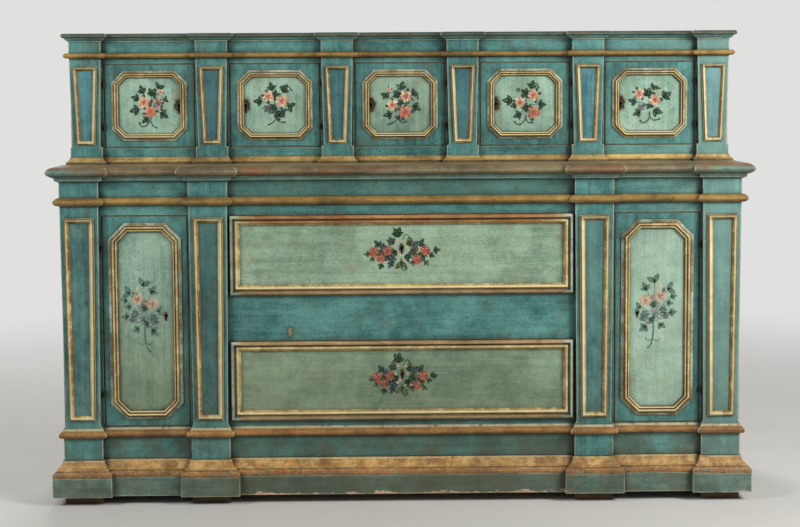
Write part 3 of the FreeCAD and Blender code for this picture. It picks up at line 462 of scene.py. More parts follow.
hold(["lower_pilasters", "upper_pilasters"], pilasterPaint())
hold(["pilaster_frames"], frameGilt())
hold(["frieze_beads"], plainPaint("beadGilt", dullGilt, "x", 0.45))
print("pilasters painted")

# Mouldings in bands of colour, each from its own height up
bands = {
    "waist": ((redBrown, 0), (warmGilt, 0.2285), (teal, 0.2480)),
    "upperFoot": ((brownTop, 0), (gilt, 1.1135)),
    "cornice": ((teal, 0), (dullCornice, 1.5295)),
}


def bandedPaint(name, levels, rough, low=0.0):
    # the bands are worn into each other
    coat = Finish(name)
    wander = coat.scaled(coat.noise(38, 6, 0.72, 4.4), 0.016, -0.008)
    height = coat.calc("ADD", coat.z, wander)
    colour = coat.paint(levels[0][0], "x")
    for look, level in levels[1:]:
        share = coat.fade(height, level - 0.0015, level + 0.0015)
        colour = coat.mix(share, colour, coat.paint(look, "x"))
    return coat.done(coat.weather(colour, levels[-1][0], low), rough)


hold(["waist_moulding"], bandedPaint("waistPaint", bands["waist"], 0.5, 0.3))
hold(["upper_base_moulding"], bandedPaint("footGilt", bands["upperFoot"], 0.45))
hold(["upper_cornice"], bandedPaint("cornicePaint", bands["cornice"], 0.65))
baseLook = {
    "gilt": (0.1085, 0.1135), "topLine": 0.1425, "footLine": 0.0945, "cream": (196, 180, 136),
    "line": (218, 204, 160),
}


def basePaint():
    # gilt ogee, with the lower half worn to brown, red and grey, and a pale line at top and bottom painted
    # as highlight
    coat = Finish("basePaint")
    patches = coat.fade(coat.noise((22, 60, 60), 6, 0.7, 3.3), 0.54, 0.66)
    lower = coat.mix(patches, coat.paint(redBrown, "x"), coat.paint(greyGreen, "x"))
    cream = coat.fade(coat.noise(120, 4, 0.7, 5.7), 0.56, 0.64)
    lower = coat.wash(lower, baseLook["cream"], cream, 0.6)
    wander = coat.scaled(coat.noise(30, 6, 0.72, 4.4), 0.024, -0.012)
    share = coat.fade(coat.calc("ADD", coat.z, wander), *baseLook["gilt"])
    colour = coat.mix(share, lower, coat.oldGilt(ogeeGilt, "x"))
    # painted highlight: pale lines along the top and the foot
    top = coat.fade(coat.gap(coat.z, baseLook["topLine"]), 0.003, 0.0015)
    foot = coat.fade(coat.gap(coat.z, baseLook["footLine"]), 0.0025, 0.001)
    broken = coat.fade(coat.noise(35, 5, 0.7, 9.4), 0.38, 0.52)
    colour = coat.wash(colour, baseLook["line"], coat.calc("MAXIMUM", top, foot), broken, 0.75)
    return coat.done(coat.weather(colour, gilt, 0.35), 0.5)


hold(["base_moulding"], basePaint())
hold(["worktop"], plainPaint("worktopPaint", brownTop, "x", 0.55))
edgeLook = {
    "ends": (1.15, 1.28), "endTop": (1.104, 1.098), "under": (1.0800, 1.0775), "shadedGroove": 1.0785,
    "dark": (44, 28, 18),
}


def worktopEdge():
    # brown and red where hands rub it, still green at the two ends and teal underneath, with a dark line
    # of painted shade along its groove
    coat = Finish("worktopEdge")
    wander = coat.scaled(coat.noise(7, 5, 0.65, 2.2), 0.5, coat.aside())
    ends = coat.fade(wander, *edgeLook["ends"])
    ends = coat.times(ends, coat.fade(coat.z, *edgeLook["endTop"]))
    under = coat.fade(coat.z, *edgeLook["under"])
    rubbed = coat.fade(coat.noise((5, 40, 40), 6, 0.7, 6.1), 0.46, 0.60)
    colour = coat.mix(rubbed, coat.paint(brownNose, "x"), coat.paint(rubbedTop, "x"))
    colour = coat.mix(ends, colour, coat.paint(greyGreen, "x"))
    colour = coat.mix(under, colour, coat.paint(teal, "x"))
    # painted shade: dark line along the groove
    line = coat.fade(coat.gap(coat.z, edgeLook["shadedGroove"]), 0.003, 0.001)
    colour = coat.wash(colour, edgeLook["dark"], line, 0.8)
    return coat.done(coat.weather(colour, brownTop), 0.52)


hold(["worktop_moulding"], worktopEdge())
print("mouldings painted")


# Doors and drawers
def boxReach(coat, centre, half):  # distance out from a box, less than 0 inside it
    across = coat.calc("SUBTRACT", coat.gap(coat.x, centre[0]), half[0])
    up = coat.calc("SUBTRACT", coat.gap(coat.z, centre[1]), half[1])
    return coat.calc("MAXIMUM", across, up)


def frameDepth(coat, centre, half, corner):
    # distance in from the outline of a frame with cut corners
    spread = coat.calc("ADD", coat.gap(coat.x, centre[0]), coat.gap(coat.z, centre[1]))
    slope = 0.70711
    slant = coat.scaled(spread, slope, -slope * (half[0] + half[1] - corner))
    return coat.times(coat.calc("MAXIMUM", boxReach(coat, centre, half), slant), -1.0)


def keyholeStainAndShade(coat, colour, keyhole, size):
    # greasy dark wear round a keyhole, with a black oval in the middle painted as the shade of the hole
    reach = ovalReach(coat, keyhole, size)
    reach = coat.scaled(coat.noise(70, 5, 0.65, 6.2), 2.0, reach)
    colour = coat.wash(colour, (122, 108, 72), coat.fade(reach, 2.9, 1.8), 0.55)
    # painted shade: the black oval of the hole
    return coat.wash(colour, (34, 26, 16), coat.fade(reach, 1.95, 1.55))


# painted shade low down and to the left, painted light on the right door, painted shade on the middle
# small doors, and painted shade in the gap round each board
frontWear = {
    "lowLeftShade": {"up": (0.76, 0.34), "across": (0.75, 0.35), "share": 0.75, "dark": (80, 100, 80),
            "light": (126, 142, 112)},
    "pale": {"across": (0.6, 0.9), "share": 0.22, "colour": (196, 222, 200)},
    "middle": {"across": (0.45, 0.1), "share": 0.4, "dark": (86, 108, 88), "light": (134, 154, 126)},
    "field": (0.011, 0.012), "gap": (-0.004, -0.0015), "gapShade": (18, 16, 12),
}


def frontPaint(name, field, grain, centre, half, corner, board, keyhole, stainAndShadeSize):
    # a door or drawer front: teal margin, pale field inside the moulding, raw wood behind
    coat = Finish(name)
    lowLeftShade, middle = frontWear["lowLeftShade"], frontWear["middle"]
    inside = coat.fade(frameDepth(coat, centre, half, corner), *frontWear["field"])
    front = coat.calc("LESS_THAN", coat.faceY, -0.5)
    pale = coat.paint(field, grain)
    # painted shade low down and to the left
    up = coat.fade(coat.z, *lowLeftShade["up"])
    share = coat.times(up, coat.fade(coat.x, *lowLeftShade["across"]), lowLeftShade["share"])
    shade = coat.fade(coat.grainTone(grain), -0.2, 1.2)
    pale = coat.mix(share, pale, coat.tones(shade, lowLeftShade))
    high = coat.calc("GREATER_THAN", coat.z, caseSplit)
    # painted light on the right door
    pale = coat.mark(pale, frontWear["pale"], coat.x, coat.calc("SUBTRACT", 1.0, high))
    # painted shade on the middle small doors
    share = coat.times(coat.fade(coat.aside(), *middle["across"]), high, middle["share"])
    pale = coat.mix(share, pale, coat.tones(shade, middle))
    colour = coat.mix(coat.times(inside, front), coat.paint(teal, grain), pale)
    colour = keyholeStainAndShade(coat, colour, keyhole, stainAndShadeSize)
    # painted shade in the gap: the outer edge of the board darkened
    rim = coat.fade(boxReach(coat, centre, board), *frontWear["gap"])
    colour = coat.wash(colour, frontWear["gapShade"], rim, 0.9)
    behind = coat.calc("GREATER_THAN", coat.faceY, 0.5)
    colour = coat.mix(behind, colour, coat.paint(rawWood, grain))
    return coat.done(coat.weather(colour, dict(teal, edgeWearAndHighlightShare=0.3), 0.35), 0.58)


# the bright foot strengthens the painted highlight on the bottom rail, the crest tone is a painted
# highlight and the groove tone painted shade
mouldWear = {
    "highlightedBottomRail": (0.045, 0.025), "rubbed": (0.74, 0.62), "crest": (240, 224, 170),
    "shadedGroove": (46, 30, 16),
}


def mouldPaint(name, grain, centre, half, corner, steps, wornTop=None):
    # the rising edge of a panel moulding is grey-green with a pale rim, in part a painted highlight; its
    # reeds are gilt, with painted highlights on the crests and painted shade in the grooves
    coat = Finish(name)
    depth = frameDepth(coat, centre, half, corner)
    if "sides" in steps:  # the pale rim is painted on the two ends only, as a painted highlight
        bare = coat.paint(wornEdge, grain)
        left = coat.fade(coat.aside(), steps["sides"] - 0.03, steps["sides"])
    else:
        bare = coat.paint(brownEdge, grain)
        left = coat.fade(coat.noise(17, 6, 0.7, 3.8), 0.56, 0.42)
    rim = coat.mix(left, bare, coat.paint(paleRimAndHighlight, grain))
    flat = coat.mix(left, bare, coat.paint(greyGreen, grain))
    outer = coat.mix(coat.fade(depth, steps["rim"], steps["rim"] + 0.002), rim, flat)
    reeds = coat.oldGilt(gilt, grain)
    colour = coat.mix(coat.fade(depth, steps["edge"] - 0.001, steps["edge"] + 0.001), outer, reeds)
    # painted highlight, stronger on the bottom rail
    foot = coat.fade(coat.z, *(centre[1] - half[1] + rise for rise in mouldWear["highlightedBottomRail"]))
    bright = coat.scaled(foot, 0.5, 0.35)
    ridges = 0.0
    # painted highlight along each reed's crest
    for crest in steps["crests"]:
        line = coat.fade(coat.gap(depth, crest), steps["round"], 0.0008)
        colour = coat.wash(colour, mouldWear["crest"], line, bright)
        ridges = coat.calc("MAXIMUM", line, ridges)
    coat.swell(ridges, steps["round"] * 0.6)
    if wornTop:
        spread = coat.scaled(coat.noise(6, 5, 0.65, 2.9), 0.4, coat.aside())
        upper = coat.fade(coat.z, wornTop, wornTop + 0.002)
        rubbed = coat.times(coat.fade(spread, *mouldWear["rubbed"]), upper, 0.85)
        colour = coat.mix(rubbed, colour, coat.paint(redBrown, grain))
    # painted shade in each groove
    for shadedGroove in steps["grooves"]:
        line = coat.fade(coat.gap(depth, shadedGroove), 0.0019, 0.0006)
        colour = coat.wash(colour, mouldWear["shadedGroove"], line, steps["dark"])
    return coat.done(coat.weather(colour, dict(gilt, cornerSootAndShadeShare=0.8), 0.5), 0.45)


doorSizes = {}
for name, side in (("left_door", -1), ("right_door", 1)):
    doorSizes[name] = {
        "centre": (side * 0.837, 0.6015), "half": (0.1185, 0.323), "corner": 0.052, "wide": 0.03,
        "board": (0.138, 0.3465), "key": (side * 0.772, 0.6195), "stain": (0.008, 0.015),
        "field": doorMint}
for k in range(5):
    middle = (k - 2) * bay
    keySide = 1 if k == 0 else -1
    doorSizes[f"small_door_{k + 1}"] = {
        "centre": (middle, 1.303), "half": (0.127, 0.1175), "corner": 0.04, "wide": 0.024,
        "board": (0.1506, 0.14), "key": (middle + keySide * 0.098, 1.303), "stain": (0.017, 0.027),
        "field": turquoise}
for name, door in doorSizes.items():
    outline = (door["centre"], door["half"], door["corner"])
    hold([name + "_board"], frontPaint(
        name + "Paint", door["field"], "z", *outline, door["board"], door["key"], door["stain"]))
    wide = door["wide"]
    steps = {"rim": 0.24 * wide, "edge": 0.36 * wide, "grooves": (0.37 * wide, 0.68 * wide, 0.97 * wide),
             "crests": (0.53 * wide, 0.82 * wide), "round": 0.15 * wide, "dark": 0.75}
    hold([name + "_moulding"], mouldPaint(name + "Gilt", "z", *outline, steps))


def boxPaint(name):
    # grain along each board: front to back on the sides, and across on the back and bottom
    coat = Finish(name)
    sides = coat.calc("GREATER_THAN", coat.calc("ABSOLUTE", coat.faceX), 0.5)
    across = coat.paint(rawWood, "x")
    acrossHeight = coat.kept["height"]
    along = coat.paint(rawWood, "y")
    change = coat.calc("SUBTRACT", coat.kept["height"], acrossHeight)
    coat.kept["height"] = coat.scaled(change, sides, acrossHeight)
    colour = coat.mix(sides, across, along)
    return coat.done(coat.weather(colour, rawWood), 0.75)


drawerSizes = {"low_drawer": 0.402, "top_drawer": 0.816}
drawerFront = {
    "half": (0.561, 0.13), "board": (0.6, 0.2), "key": 0.02, "stain": (0.009, 0.0175), "worn": 0.103,
}
drawerSteps = {
    "rim": 0.0065, "edge": 0.0145, "grooves": (0.0135, 0.0318), "crests": (0.0225,), "dark": 0.15,
    "sides": 0.545, "round": 0.009,
}
for name, middle in drawerSizes.items():
    outline = ((0, middle), drawerFront["half"], 0.0)
    keyhole = (0, middle + drawerFront["key"])
    hold([name + "_front"], frontPaint(
        name + "Paint", mint, "x", *outline, drawerFront["board"], keyhole, drawerFront["stain"]))
    wornTop = middle + drawerFront["worn"] if name == "top_drawer" else None
    hold([name + "_moulding"], mouldPaint(name + "Gilt", "x", *outline, drawerSteps, wornTop))
    hold([name + "_box"], boxPaint(name + "Wood"))
print("doors and drawers painted")

ironLook = {"dark": (22, 20, 18), "light": (70, 62, 54), "rust": (92, 58, 38)}


def ironFinish():
    coat = Finish("oldIron")
    tone = coat.fade(coat.grainTone("z"), 0.0, 1.0)
    rust = coat.fade(coat.noise(60, 5, 0.6, 8.8), 0.50, 0.68)
    colour = coat.wash(coat.tones(tone, ironLook), ironLook["rust"], rust)
    coat.shader.inputs["Metallic"].default_value = 0.5
    return coat.done(colour, 0.62)


ironEnds = ("_ironwork", "_bolt", "_lock", "hinge_fixed_leaves")
hold([name for name in nodes if name.endswith(ironEnds)], ironFinish())
print("ironwork finished")

# Painted flower sprays, in millimetres from the middle of each spray
tints = {
    "cream": (232, 210, 180), "blush": (212, 156, 130), "coral": (198, 104, 80), "rust": (142, 56, 42),
    "leaf": (28, 56, 38), "teal": (46, 84, 78), "sage": (92, 122, 96), "olive": (84, 88, 50),
    "blue": (40, 54, 72), "slate": (96, 104, 112), "plum": (120, 84, 84), "sun": (210, 186, 124),
    "brick": (176, 90, 66), "beige": (206, 172, 148),
}
roseTints = {
    "pale": ("blush", "cream", "coral", "rust"),
    "bright": ("coral", "blush", "coral", "rust"),
    "deep": ("rust", "brick", "brick", "rust"),
    "faded": ("beige", "beige", "brick", "rust"),
    "dusk": ("slate", "blush", "plum", "plum"),
}


class Spray:
    def __init__(self, name, middle, face, seed, mirror=1):
        self.name, self.middle, self.face, self.mirror = name, middle, face, mirror
        self.chance = random.Random(seed)
        self.bm = bmesh.new()
        self.tint = self.bm.verts.layers.float_color.new("flowerTint")

    def dab(self, x, z, length, width, turn, rise, tint, pointed=False):
        # one brush stroke: a low rounded pad lying on the board, turned in degrees
        made = bmesh.ops.create_cone(
            self.bm, cap_ends=True, segments=12, radius1=1.0, radius2=0.8, depth=1.0)["verts"]
        if pointed:
            for vert in made:
                vert.co.y *= max(0.06, 1 - min(1, abs(vert.co.x)) ** 2) ** 0.45
        if self.mirror < 0:
            x, turn = -x, 180 - turn
        at = Vector((self.middle[0] + x / 1000, self.face - rise / 2000, self.middle[1] + z / 1000))
        lay = Matrix.Translation(at) @ Matrix.Rotation(-math.radians(turn), 4, "Y")
        lay = lay @ Matrix.Rotation(math.pi / 2, 4, "X")
        size = Matrix.Diagonal((length / 2000, width / 2000, rise / 1000, 1))
        bmesh.ops.transform(self.bm, matrix=lay @ size, verts=made)
        shade = 1 + self.chance.uniform(-0.13, 0.13)
        colour = screen(*(min(255, part * shade) for part in tints[tint]))
        for vert in made:
            vert[self.tint] = colour

    def stem(self, start, bend, end, width, tint):
        start, bend, end = Vector(start), Vector(bend), Vector(end)
        steps = max(5, int((end - start).length / 4))
        spots = []
        for k in range(steps + 1):
            t = k / steps
            spots.append(start * (1 - t) ** 2 + bend * 2 * t * (1 - t) + end * t * t)
        for here, there in zip(spots, spots[1:]):
            run = there - here
            middle = (here + there) / 2
            turn = math.degrees(math.atan2(run.y, run.x))
            self.dab(middle.x, middle.y, run.length * 1.7, width, turn, 0.3, tint)

    def curl(self, start, bend, end, width, tint):
        self.stem(start, bend, end, width, tint)
        self.dab(end[0], end[1], width * 1.9, width * 1.6, 0, 0.45, tint)

    def leaf(self, x, z, length, turn, tint, broad=0.5):
        self.dab(x, z, length, length * broad, turn, 0.4, tint, True)
        self.dab(x, z, length * 0.62, length * 0.05, turn, 0.5, "sage")

    def outward(self, x, z, reach, way):  # the spot this far out from x, z
        a = math.radians(way)
        return x + reach * math.cos(a), z + reach * math.sin(a)

    def leaves(self, x, z, length, turn, tint, count):
        # lobes spreading from a stalk, with the middle of the cluster at x, z
        for k in range(count):
            way = turn + (k - (count - 1) / 2) * 190 / count + self.chance.uniform(-8, 8)
            long = length * (0.86 if abs(2 * k - count + 1) < 2 else 0.7)
            self.leaf(*self.outward(x, z, long * 0.5 - length * 0.2, way), long, way, tint)

    def tuck(self, x, z, radius):  # small leaves showing from under a rose
        for k in range(4):
            way = k * 90 + self.chance.uniform(-35, 35)
            self.leaf(*self.outward(x, z, radius, way), radius * 0.95, way, "leaf", 0.6)

    def petals(self, x, z, radius, sizes, count, rise, shades, phase=0):
        # strokes that point outwards round a ring, with the shades taken in turn
        # sizes: the ring, a stroke's length and its width, as shares of the radius
        ring, length, width = (radius * share for share in sizes)
        for k in range(count):
            way = phase + k * 360 / count + self.chance.uniform(-9, 9)
            self.dab(*self.outward(x, z, ring, way), length, width, way, rise, shades[k % len(shades)])

    def rose(self, x, z, radius, kind):
        under, rim, heart, core = roseTints[kind]
        self.dab(x, z, radius * 1.75, radius * 1.65, 20, 0.35, under)
        self.petals(x, z, radius, (0.68, 0.66, 0.42), 10, 0.45, (under, rim, rim))
        self.petals(x, z, radius, (0.6, 0.5, 0.07), 9, 0.5, (heart,), 18)
        self.petals(x, z, radius, (0.36, 0.44, 0.36), 7, 0.55, (under, heart), 10)
        self.dab(x, z, radius * 0.66, radius * 0.6, 40, 0.62, heart)
        self.petals(x, z, radius, (0.2, 0.3, 0.14), 5, 0.72, (core,), 40)
        self.petals(x, z, radius, (0.46, 0.3, 0.08), 5, 0.66, ("cream",), -80)

    def bud(self, x, z, radius, eye):
        self.petals(x, z, radius, (0.5, 1.0, 0.7), 5, 0.5, ("cream",))
        self.dab(x, z, radius * 0.8, radius * 0.8, 0, 0.62, eye)

    def blossom(self, x, z, radius, tint="blue", eye="slate"):
        self.petals(x, z, radius, (0.52, 0.95, 0.62), 6, 0.5, (tint,))
        self.petals(x, z, radius, (0.5, 0.7, 0.1), 4, 0.58, (eye,), 30)
        self.dab(x, z, radius * 0.4, radius * 0.4, 0, 0.65, eye)

    def make(self, body, material):
        mesh = bpy.data.meshes.new(self.name)
        bmesh.ops.recalc_face_normals(self.bm, faces=self.bm.faces)
        self.bm.to_mesh(mesh)
        self.bm.free()
        mesh.materials.append(material)
        piece = bpy.data.objects.new(self.name, mesh)
        scene.collection.objects.link(piece)
        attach(piece, body)


# a cast over the strokes, and the ground that shows where they are worn
flowerWear = {
    "cast": {"dark": (160, 160, 156), "light": (255, 255, 252)},
    "ground": {"dark": (102, 132, 112), "light": (160, 190, 168)},
}


def flowerPaint(name, faded):
    coat = Finish(name)
    strokes = coat.add("ShaderNodeAttribute")
    strokes.attribute_name = "flowerTint"
    tone = coat.fade(coat.grainTone("z"), -0.4, 1.0)
    cast = coat.tones(tone, flowerWear["cast"])
    shade = coat.mix(1.0, strokes.outputs["Color"], cast, "MULTIPLY")
    bare = coat.fade(coat.noise(160, 5, 0.65, 11.3), 0.50, 0.68)
    ground = coat.tones(tone, flowerWear["ground"])
    colour = coat.mix(coat.scaled(bare, 0.45, faded), shade, ground)
    return coat.done(colour, 0.6, 0.2)


freshFlowers = flowerPaint("flowerPaint", 0.0)
fadedFlowers = flowerPaint("fadedFlowerPaint", 0.2)
smallLook = {
    "root": (2, -14), "pulledIn": 0.93, "leafSize": 1.15, "roseSize": 1.06, "stem": 2.0, "curl": 4.2,
}
# roses: x, z, radius, kind; slates: x, z, radius; leaves: x, z, length, way they point, lobes;
# curls: start, bend, end
smallSprays = {
    "small_door_1": {
        "seed": 11,
        "roses": ((-19, 12, 20, "pale"), (29, 8, 20, "dusk"), (3, -21, 20, "bright"),
                  (37, 46, 9, "pale")),
        "leaves": ((-24, 50, 34, 110, 3), (34, 66, 30, 60, 2), (-44, 28, 30, 165, 3),
                   (-44, -14, 38, 190, 3), (44, -28, 36, -30, 3), (-10, -48, 30, 215, 3),
                   (10, 40, 34, 85, 4), (56, 22, 20, 10, 2)),
        "curls": (((6, -36), (0, -58), (-14, -68)), ((-14, -68), (-32, -76), (-34, -58)),
                  ((4, -52), (8, -70), (22, -74)))},
    "small_door_2": {
        "seed": 23, "slates": ((-28, -12, 14), (-16, -22, 9)),
        "roses": ((-22, 29, 18, "pale"), (24, 14, 21, "pale")),
        "leaves": ((-10, 58, 34, 100, 3), (32, 52, 36, 60, 3), (-52, 14, 34, 175, 3),
                   (52, -4, 32, -20, 2), (10, -28, 38, -60, 4), (0, 34, 30, 80, 3),
                   (-2, -6, 34, 230, 4), (30, -20, 24, -30, 2)),
        "curls": (((16, 58), (44, 76), (56, 50)), ((6, -36), (4, -56), (-22, -66)),
                  ((6, -48), (14, -60), (32, -58)))},
    "small_door_3": {
        "seed": 37,
        "roses": ((20, 27, 20, "pale"), (-25, -2, 18, "pale"), (18, -26, 22, "bright"),
                  (-38, 50, 9, "pale")),
        "leaves": ((-46, 29, 34, 150, 3), (4, 58, 36, 75, 3), (46, 38, 28, 30, 2), (52, -8, 36, -25, 3),
                   (-36, -36, 34, 200, 3), (-8, 30, 34, 110, 4), (-4, -46, 22, 240, 2),
                   (2, 4, 26, 60, 3)),
        "curls": (((42, 42), (66, 46), (60, 20)), ((-2, -36), (-8, -58), (-40, -68)),
                  ((-4, -48), (6, -70), (20, -58)))},
    "small_door_4": {
        "seed": 41, "slates": ((-22, 46, 9),),
        "roses": ((29, 28, 20, "pale"), (-16, 4, 18, "pale"), (29, -30, 22, "bright")),
        "leaves": ((24, 60, 34, 70, 3), (-52, 11, 40, 175, 3), (54, -2, 32, 0, 3),
                   (-19, -38, 34, 200, 3), (4, 32, 34, 110, 4), (-34, -6, 26, 200, 3),
                   (6, -8, 28, 250, 3)),
        "curls": (((22, 64), (42, 76), (46, 54)), ((4, -40), (2, -60), (-16, -70)),
                  ((-16, -70), (-30, -72), (-34, -62)), ((4, -52), (8, -68), (24, -64)))},
    "small_door_5": {
        "seed": 53, "slates": ((-29, -16, 13), (-18, -8, 8)),
        "roses": ((-35, 31, 18, "pale"), (19, 10, 20, "pale")),
        "leaves": ((54, 22, 40, 35, 3), (-6, 30, 34, 100, 4), (14, 52, 28, 60, 2), (-54, 4, 32, 165, 3),
                   (20, -30, 38, -20, 3), (-38, -34, 32, 200, 3), (0, -8, 24, 240, 3)),
        "curls": (((12, 54), (24, 62), (34, 48)), ((0, -30), (2, -58), (-12, -64)),
                  ((-12, -64), (-26, -72), (-30, -60)), ((2, -48), (10, -66), (34, -54)))},
}
for name, plan in smallSprays.items():
    spray = Spray(name + "_spray", doorSizes[name]["centre"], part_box(name + "_board")[0].y, plan["seed"])
    for x, z, length, turn, lobes in plan["leaves"]:
        x, z = x * smallLook["pulledIn"], z * smallLook["pulledIn"]
        spray.stem(smallLook["root"], (x * 0.3, z * 0.5), (x, z), smallLook["stem"], "leaf")
        spray.leaves(x, z, length * smallLook["leafSize"], turn, "leaf", lobes)
    for start, bend, end in plan["curls"]:
        spray.curl(start, bend, end, smallLook["curl"], "leaf")
    for x, z, radius in plan.get("slates", ()):
        spray.blossom(x, z, radius, "slate", "plum")
    for x, z, radius, kind in plan["roses"]:
        spray.tuck(x, z, radius)
    for x, z, radius, kind in plan["roses"]:
        spray.rose(x, z, radius * smallLook["roseSize"], kind)
    spray.make(name, freshFlowers)

tallSprays = {
    "left_door": {"shift": (-0.010, 0.020), "mirror": 1, "seed": 61},
    "right_door": {"shift": (-0.006, 0.020), "mirror": -1, "seed": 71},
}
# stalks and curls: start, bend, end, width, tint
tallSpray = {
    "leaves": ((2, 100, 44, 74, 2), (-44, 74, 42, 165, 2), (30, 74, 40, 62, 3), (50, 14, 34, 8, 2),
               (-16, -44, 34, 215, 3), (32, -50, 40, -40, 3), (4, 18, 40, 90, 4), (-54, 48, 30, 170, 3),
               (-42, 28, 30, 190, 3), (-50, -4, 34, 180, 3), (-24, 62, 30, 120, 3),
               (14, -24, 34, 270, 4)),
    "root": (6, -30), "stem": 2.0,
    "stalks": (((6, -26), (4, -70), (10, -98), 6.0, "teal"),
               ((10, -98), (12, -114), (26, -122), 5.0, "teal")),
    "curls": (((9, -88), (-8, -106), (-16, -90), 3.6, "sage"),
              ((10, -92), (24, -104), (30, -88), 3.6, "teal")),
    "blossoms": ((-26, 4, 15, "blue"), (-14, -16, 14, "slate"), (-34, -14, 13, "blue"),
                 (34, -10, 16, "blue"), (26, -30, 12, "slate"), (6, 4, 11, "slate"),
                 (44, -24, 10, "blue"), (-8, 20, 9, "slate")),
    "roses": ((-16, 52, 22, "faded"), (32, 36, 21, "faded"), (8, 46, 12, "dusk")),
    "bud": (-18, 86, 8),
}
for name, plan in tallSprays.items():
    centre = doorSizes[name]["centre"]
    middle = (centre[0] + plan["shift"][0], centre[1] + plan["shift"][1])
    spray = Spray(name + "_spray", middle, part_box(name + "_board")[0].y, plan["seed"], plan["mirror"])
    for x, z, length, turn, lobes in tallSpray["leaves"]:
        spray.stem(tallSpray["root"], (x * 0.3, z * 0.5), (x, z), tallSpray["stem"], "teal")
        spray.leaves(x, z, length, turn, "teal", lobes)
    for stalk in tallSpray["stalks"]:
        spray.stem(*stalk)
    for curl in tallSpray["curls"]:
        spray.curl(*curl)
    for x, z, radius, tint in tallSpray["blossoms"]:
        spray.blossom(x, z, radius, tint, "cream" if tint == "slate" else "slate")
    for x, z, radius, kind in tallSpray["roses"]:
        spray.rose(x, z, radius, kind)
    spray.bud(*tallSpray["bud"], "sun")
    spray.make(name, fadedFlowers)

wideSprays = {
    "top_drawer": {"spread": 1.0, "seed": 83},
    "low_drawer": {"spread": 0.9, "seed": 97},
}
wideSpray = {
    "rise": 0.02,
    "leaves": (
        (-12, 42, 44, 100, 4, "leaf"), (-28, 18, 38, 140, 4, "olive"), (22, 14, 38, 40, 4, "olive"),
        (16, -26, 36, -50, 4, "leaf"), (-20, -12, 34, 200, 4, "leaf"), (-1, -48, 44, 265, 2, "olive"),
        (-108, -18, 26, 185, 3, "olive"), (108, -8, 32, 5, 3, "leaf"), (78, -46, 26, -40, 3, "olive"),
        (-66, -54, 28, 255, 3, "leaf"), (-34, -50, 30, 240, 3, "blue"), (-74, 10, 34, 130, 3, "leaf"),
        (62, 10, 36, 60, 3, "leaf"), (-66, -12, 44, 250, 5, "leaf"), (62, -20, 44, -60, 5, "leaf"),
        (34, -14, 40, 20, 5, "olive"), (-40, -24, 36, 250, 4, "leaf"), (94, -22, 26, -20, 3, "leaf"),
        (36, -44, 28, -80, 3, "olive"), (-92, -34, 24, 220, 3, "olive")),
    "crook": ((4, 30), (18, 60), (24, 34), 3.6, "leaf"),
    "stalk": ((-1, -34), (-4, -56), (0, -66), 5.5, "olive"),
    "tail": ((0, -64), (8, -84), (16, -68), 3.4, "leaf"),
    "blossoms": ((-62, 6, 13), (-30, -38, 14), (45, 10, 13), (30, -16, 9), (-38, 20, 9), (-50, -34, 8)),
    "roses": ((-90, -13, 18), (-46, -8, 18), (-67, -33, 16), (77, -9, 18), (52, -38, 17)),
    "buds": ((-15, -30), (-22, -2), (29, -38), (14, 24), (-14, 26), (17, 0), (10, -38), (-8, -22)),
    "budSize": 5,
}
for name, plan in wideSprays.items():
    spread = plan["spread"]
    middle = (0, drawerSizes[name] + wideSpray["rise"])
    spray = Spray(name + "_spray", middle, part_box(name + "_front")[0].y, plan["seed"])
    for x, z, length, turn, lobes, tint in wideSpray["leaves"]:
        spray.leaves(x * spread, z, length, turn, tint, lobes)
    spray.curl(*wideSpray["crook"])
    spray.stem(*wideSpray["stalk"])
    spray.curl(*wideSpray["tail"])
    for x, z, radius in wideSpray["blossoms"]:
        spray.blossom(x * spread, z, radius)
    for x, z, radius in wideSpray["roses"]:
        spray.rose(x * spread, z, radius, "deep")
    for x, z in wideSpray["buds"]:
        spray.bud(x, z, wideSpray["budSize"], "olive")
    spray.make(name, freshFlowers)
print("flower sprays painted")

# Studio: pale floor and background, a soft lamp at each side and one behind, and the camera
studio = {
    "floor": {"dark": (201, 200, 197), "light": (211, 210, 207)}, "floorSize": 30.0, "fade": (1.3, 4.6),
    "sky": (224, 224, 223), "fill": 0.13, "fillTone": (1.0, 0.99, 0.97, 1.0),
    "lampTone": (1.0, 0.98, 0.95),
}
shownRays = ("Is Camera Ray", "Is Glossy Ray", "Is Transmission Ray")


def paleFloor():
    mesh = bpy.data.meshes.new("studioFloor")
    bm = bmesh.new()
    bmesh.ops.create_circle(bm, cap_ends=True, segments=96, radius=studio["floorSize"])
    bm.to_mesh(mesh)
    bm.free()
    floor = bpy.data.objects.new("studioFloor", mesh)
    scene.collection.objects.link(floor)
    coat = Finish("studioFloorPaint")
    coat.done(coat.tones(coat.noise(3, 4, 0.5), studio["floor"]), 0.75)
    glow = coat.add("ShaderNodeEmission", Color=screen(*studio["sky"]))
    away = coat.add("ShaderNodeVectorMath")
    away.operation = "LENGTH"
    coat.feed(away.inputs[0], coat.place)
    far = coat.fade(away.outputs["Value"], *studio["fade"])
    rays = coat.add("ShaderNodeLightPath").outputs
    seen = rays[shownRays[0]]
    for ray in shownRays[1:]:
        seen = coat.calc("MAXIMUM", seen, rays[ray])
    blend = coat.add("ShaderNodeMixShader")
    coat.feed(blend.inputs[0], coat.times(far, seen))
    coat.feed(blend.inputs[1], coat.shader.outputs["BSDF"])
    coat.feed(blend.inputs[2], glow.outputs[0])
    coat.feed(coat.output.inputs["Surface"], blend.outputs[0])
    mesh.materials.append(coat.material)


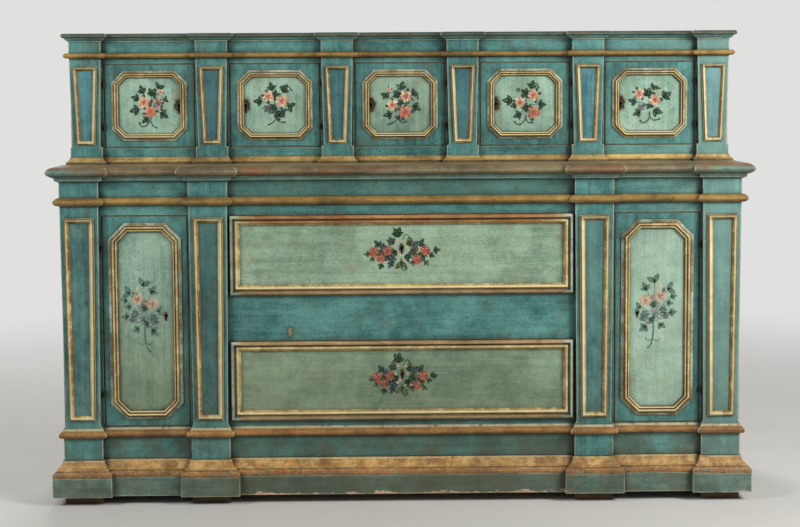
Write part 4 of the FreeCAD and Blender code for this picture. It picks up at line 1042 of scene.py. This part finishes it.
def paleSky():
    world = bpy.data.worlds.new("studioSky")
    world.use_nodes = True
    world.node_tree.nodes.clear()
    add, link = world.node_tree.nodes.new, world.node_tree.links.new
    output = add("ShaderNodeOutputWorld")
    blend = add("ShaderNodeMixShader")
    fill = add("ShaderNodeBackground")
    fill.inputs["Color"].default_value = studio["fillTone"]
    fill.inputs["Strength"].default_value = studio["fill"]
    sky = add("ShaderNodeBackground")
    sky.inputs["Color"].default_value = screen(*studio["sky"])
    rays = add("ShaderNodeLightPath").outputs
    seen = rays[shownRays[0]]
    for ray in shownRays[1:]:
        most = add("ShaderNodeMath")
        most.operation = "MAXIMUM"
        link(seen, most.inputs[0])
        link(rays[ray], most.inputs[1])
        seen = most.outputs[0]
    link(seen, blend.inputs[0])
    link(fill.outputs[0], blend.inputs[1])
    link(sky.outputs[0], blend.inputs[2])
    link(blend.outputs[0], output.inputs["Surface"])
    scene.world = world


paleFloor()
paleSky()
lamps = {
    "leftLamp": {"at": (-2.9, -2.1, 2.5), "aim": (-0.6, -0.2, 0.85), "size": 1.2, "watts": 66},
    "rightLamp": {"at": (2.8, -2.0, 2.4), "aim": (0.8, -0.2, 0.85), "size": 1.2, "watts": 118},
    "backLamp": {"at": (-0.8, 3.4, 3.2), "aim": (0, 0.3, 0.7), "size": 1.4, "watts": 90},
}
for name, lamp in lamps.items():
    data = bpy.data.lights.new(name, "AREA")
    data.shape = "SQUARE"
    data.size = lamp["size"]
    data.energy = lamp["watts"]
    data.color = studio["lampTone"]
    holder = bpy.data.objects.new(name, data)
    holder.location = lamp["at"]
    beam = Vector(lamp["aim"]) - Vector(lamp["at"])
    holder.rotation_euler = beam.to_track_quat("-Z", "Y").to_euler()
    scene.collection.objects.link(holder)

# angles in degrees, the focal length in pixels of a picture this wide
view = {
    "at": (-0.0584, -4.9927, 1.35), "pitch": 3.957, "yaw": 0.656, "roll": -0.345, "focal": 1461.8,
    "wide": 800, "sensor": 36.0, "shift": -0.09,
}


def photoCamera():
    data = bpy.data.cameras.new("viewCamera")
    data.sensor_width = view["sensor"]
    data.lens = view["focal"] * view["sensor"] / view["wide"]
    data.shift_y = view["shift"]
    camera = bpy.data.objects.new("viewCamera", data)
    turn = Matrix.Rotation(-math.radians(view["yaw"]), 4, "Z")
    turn = turn @ Matrix.Rotation(math.radians(90 - view["pitch"]), 4, "X")
    turn = turn @ Matrix.Rotation(math.radians(view["roll"]), 4, "Z")
    camera.matrix_world = Matrix.Translation(view["at"]) @ turn
    scene.collection.objects.link(camera)
    scene.camera = camera


photoCamera()
scene.view_settings.view_transform = "Standard"
print("studio set")
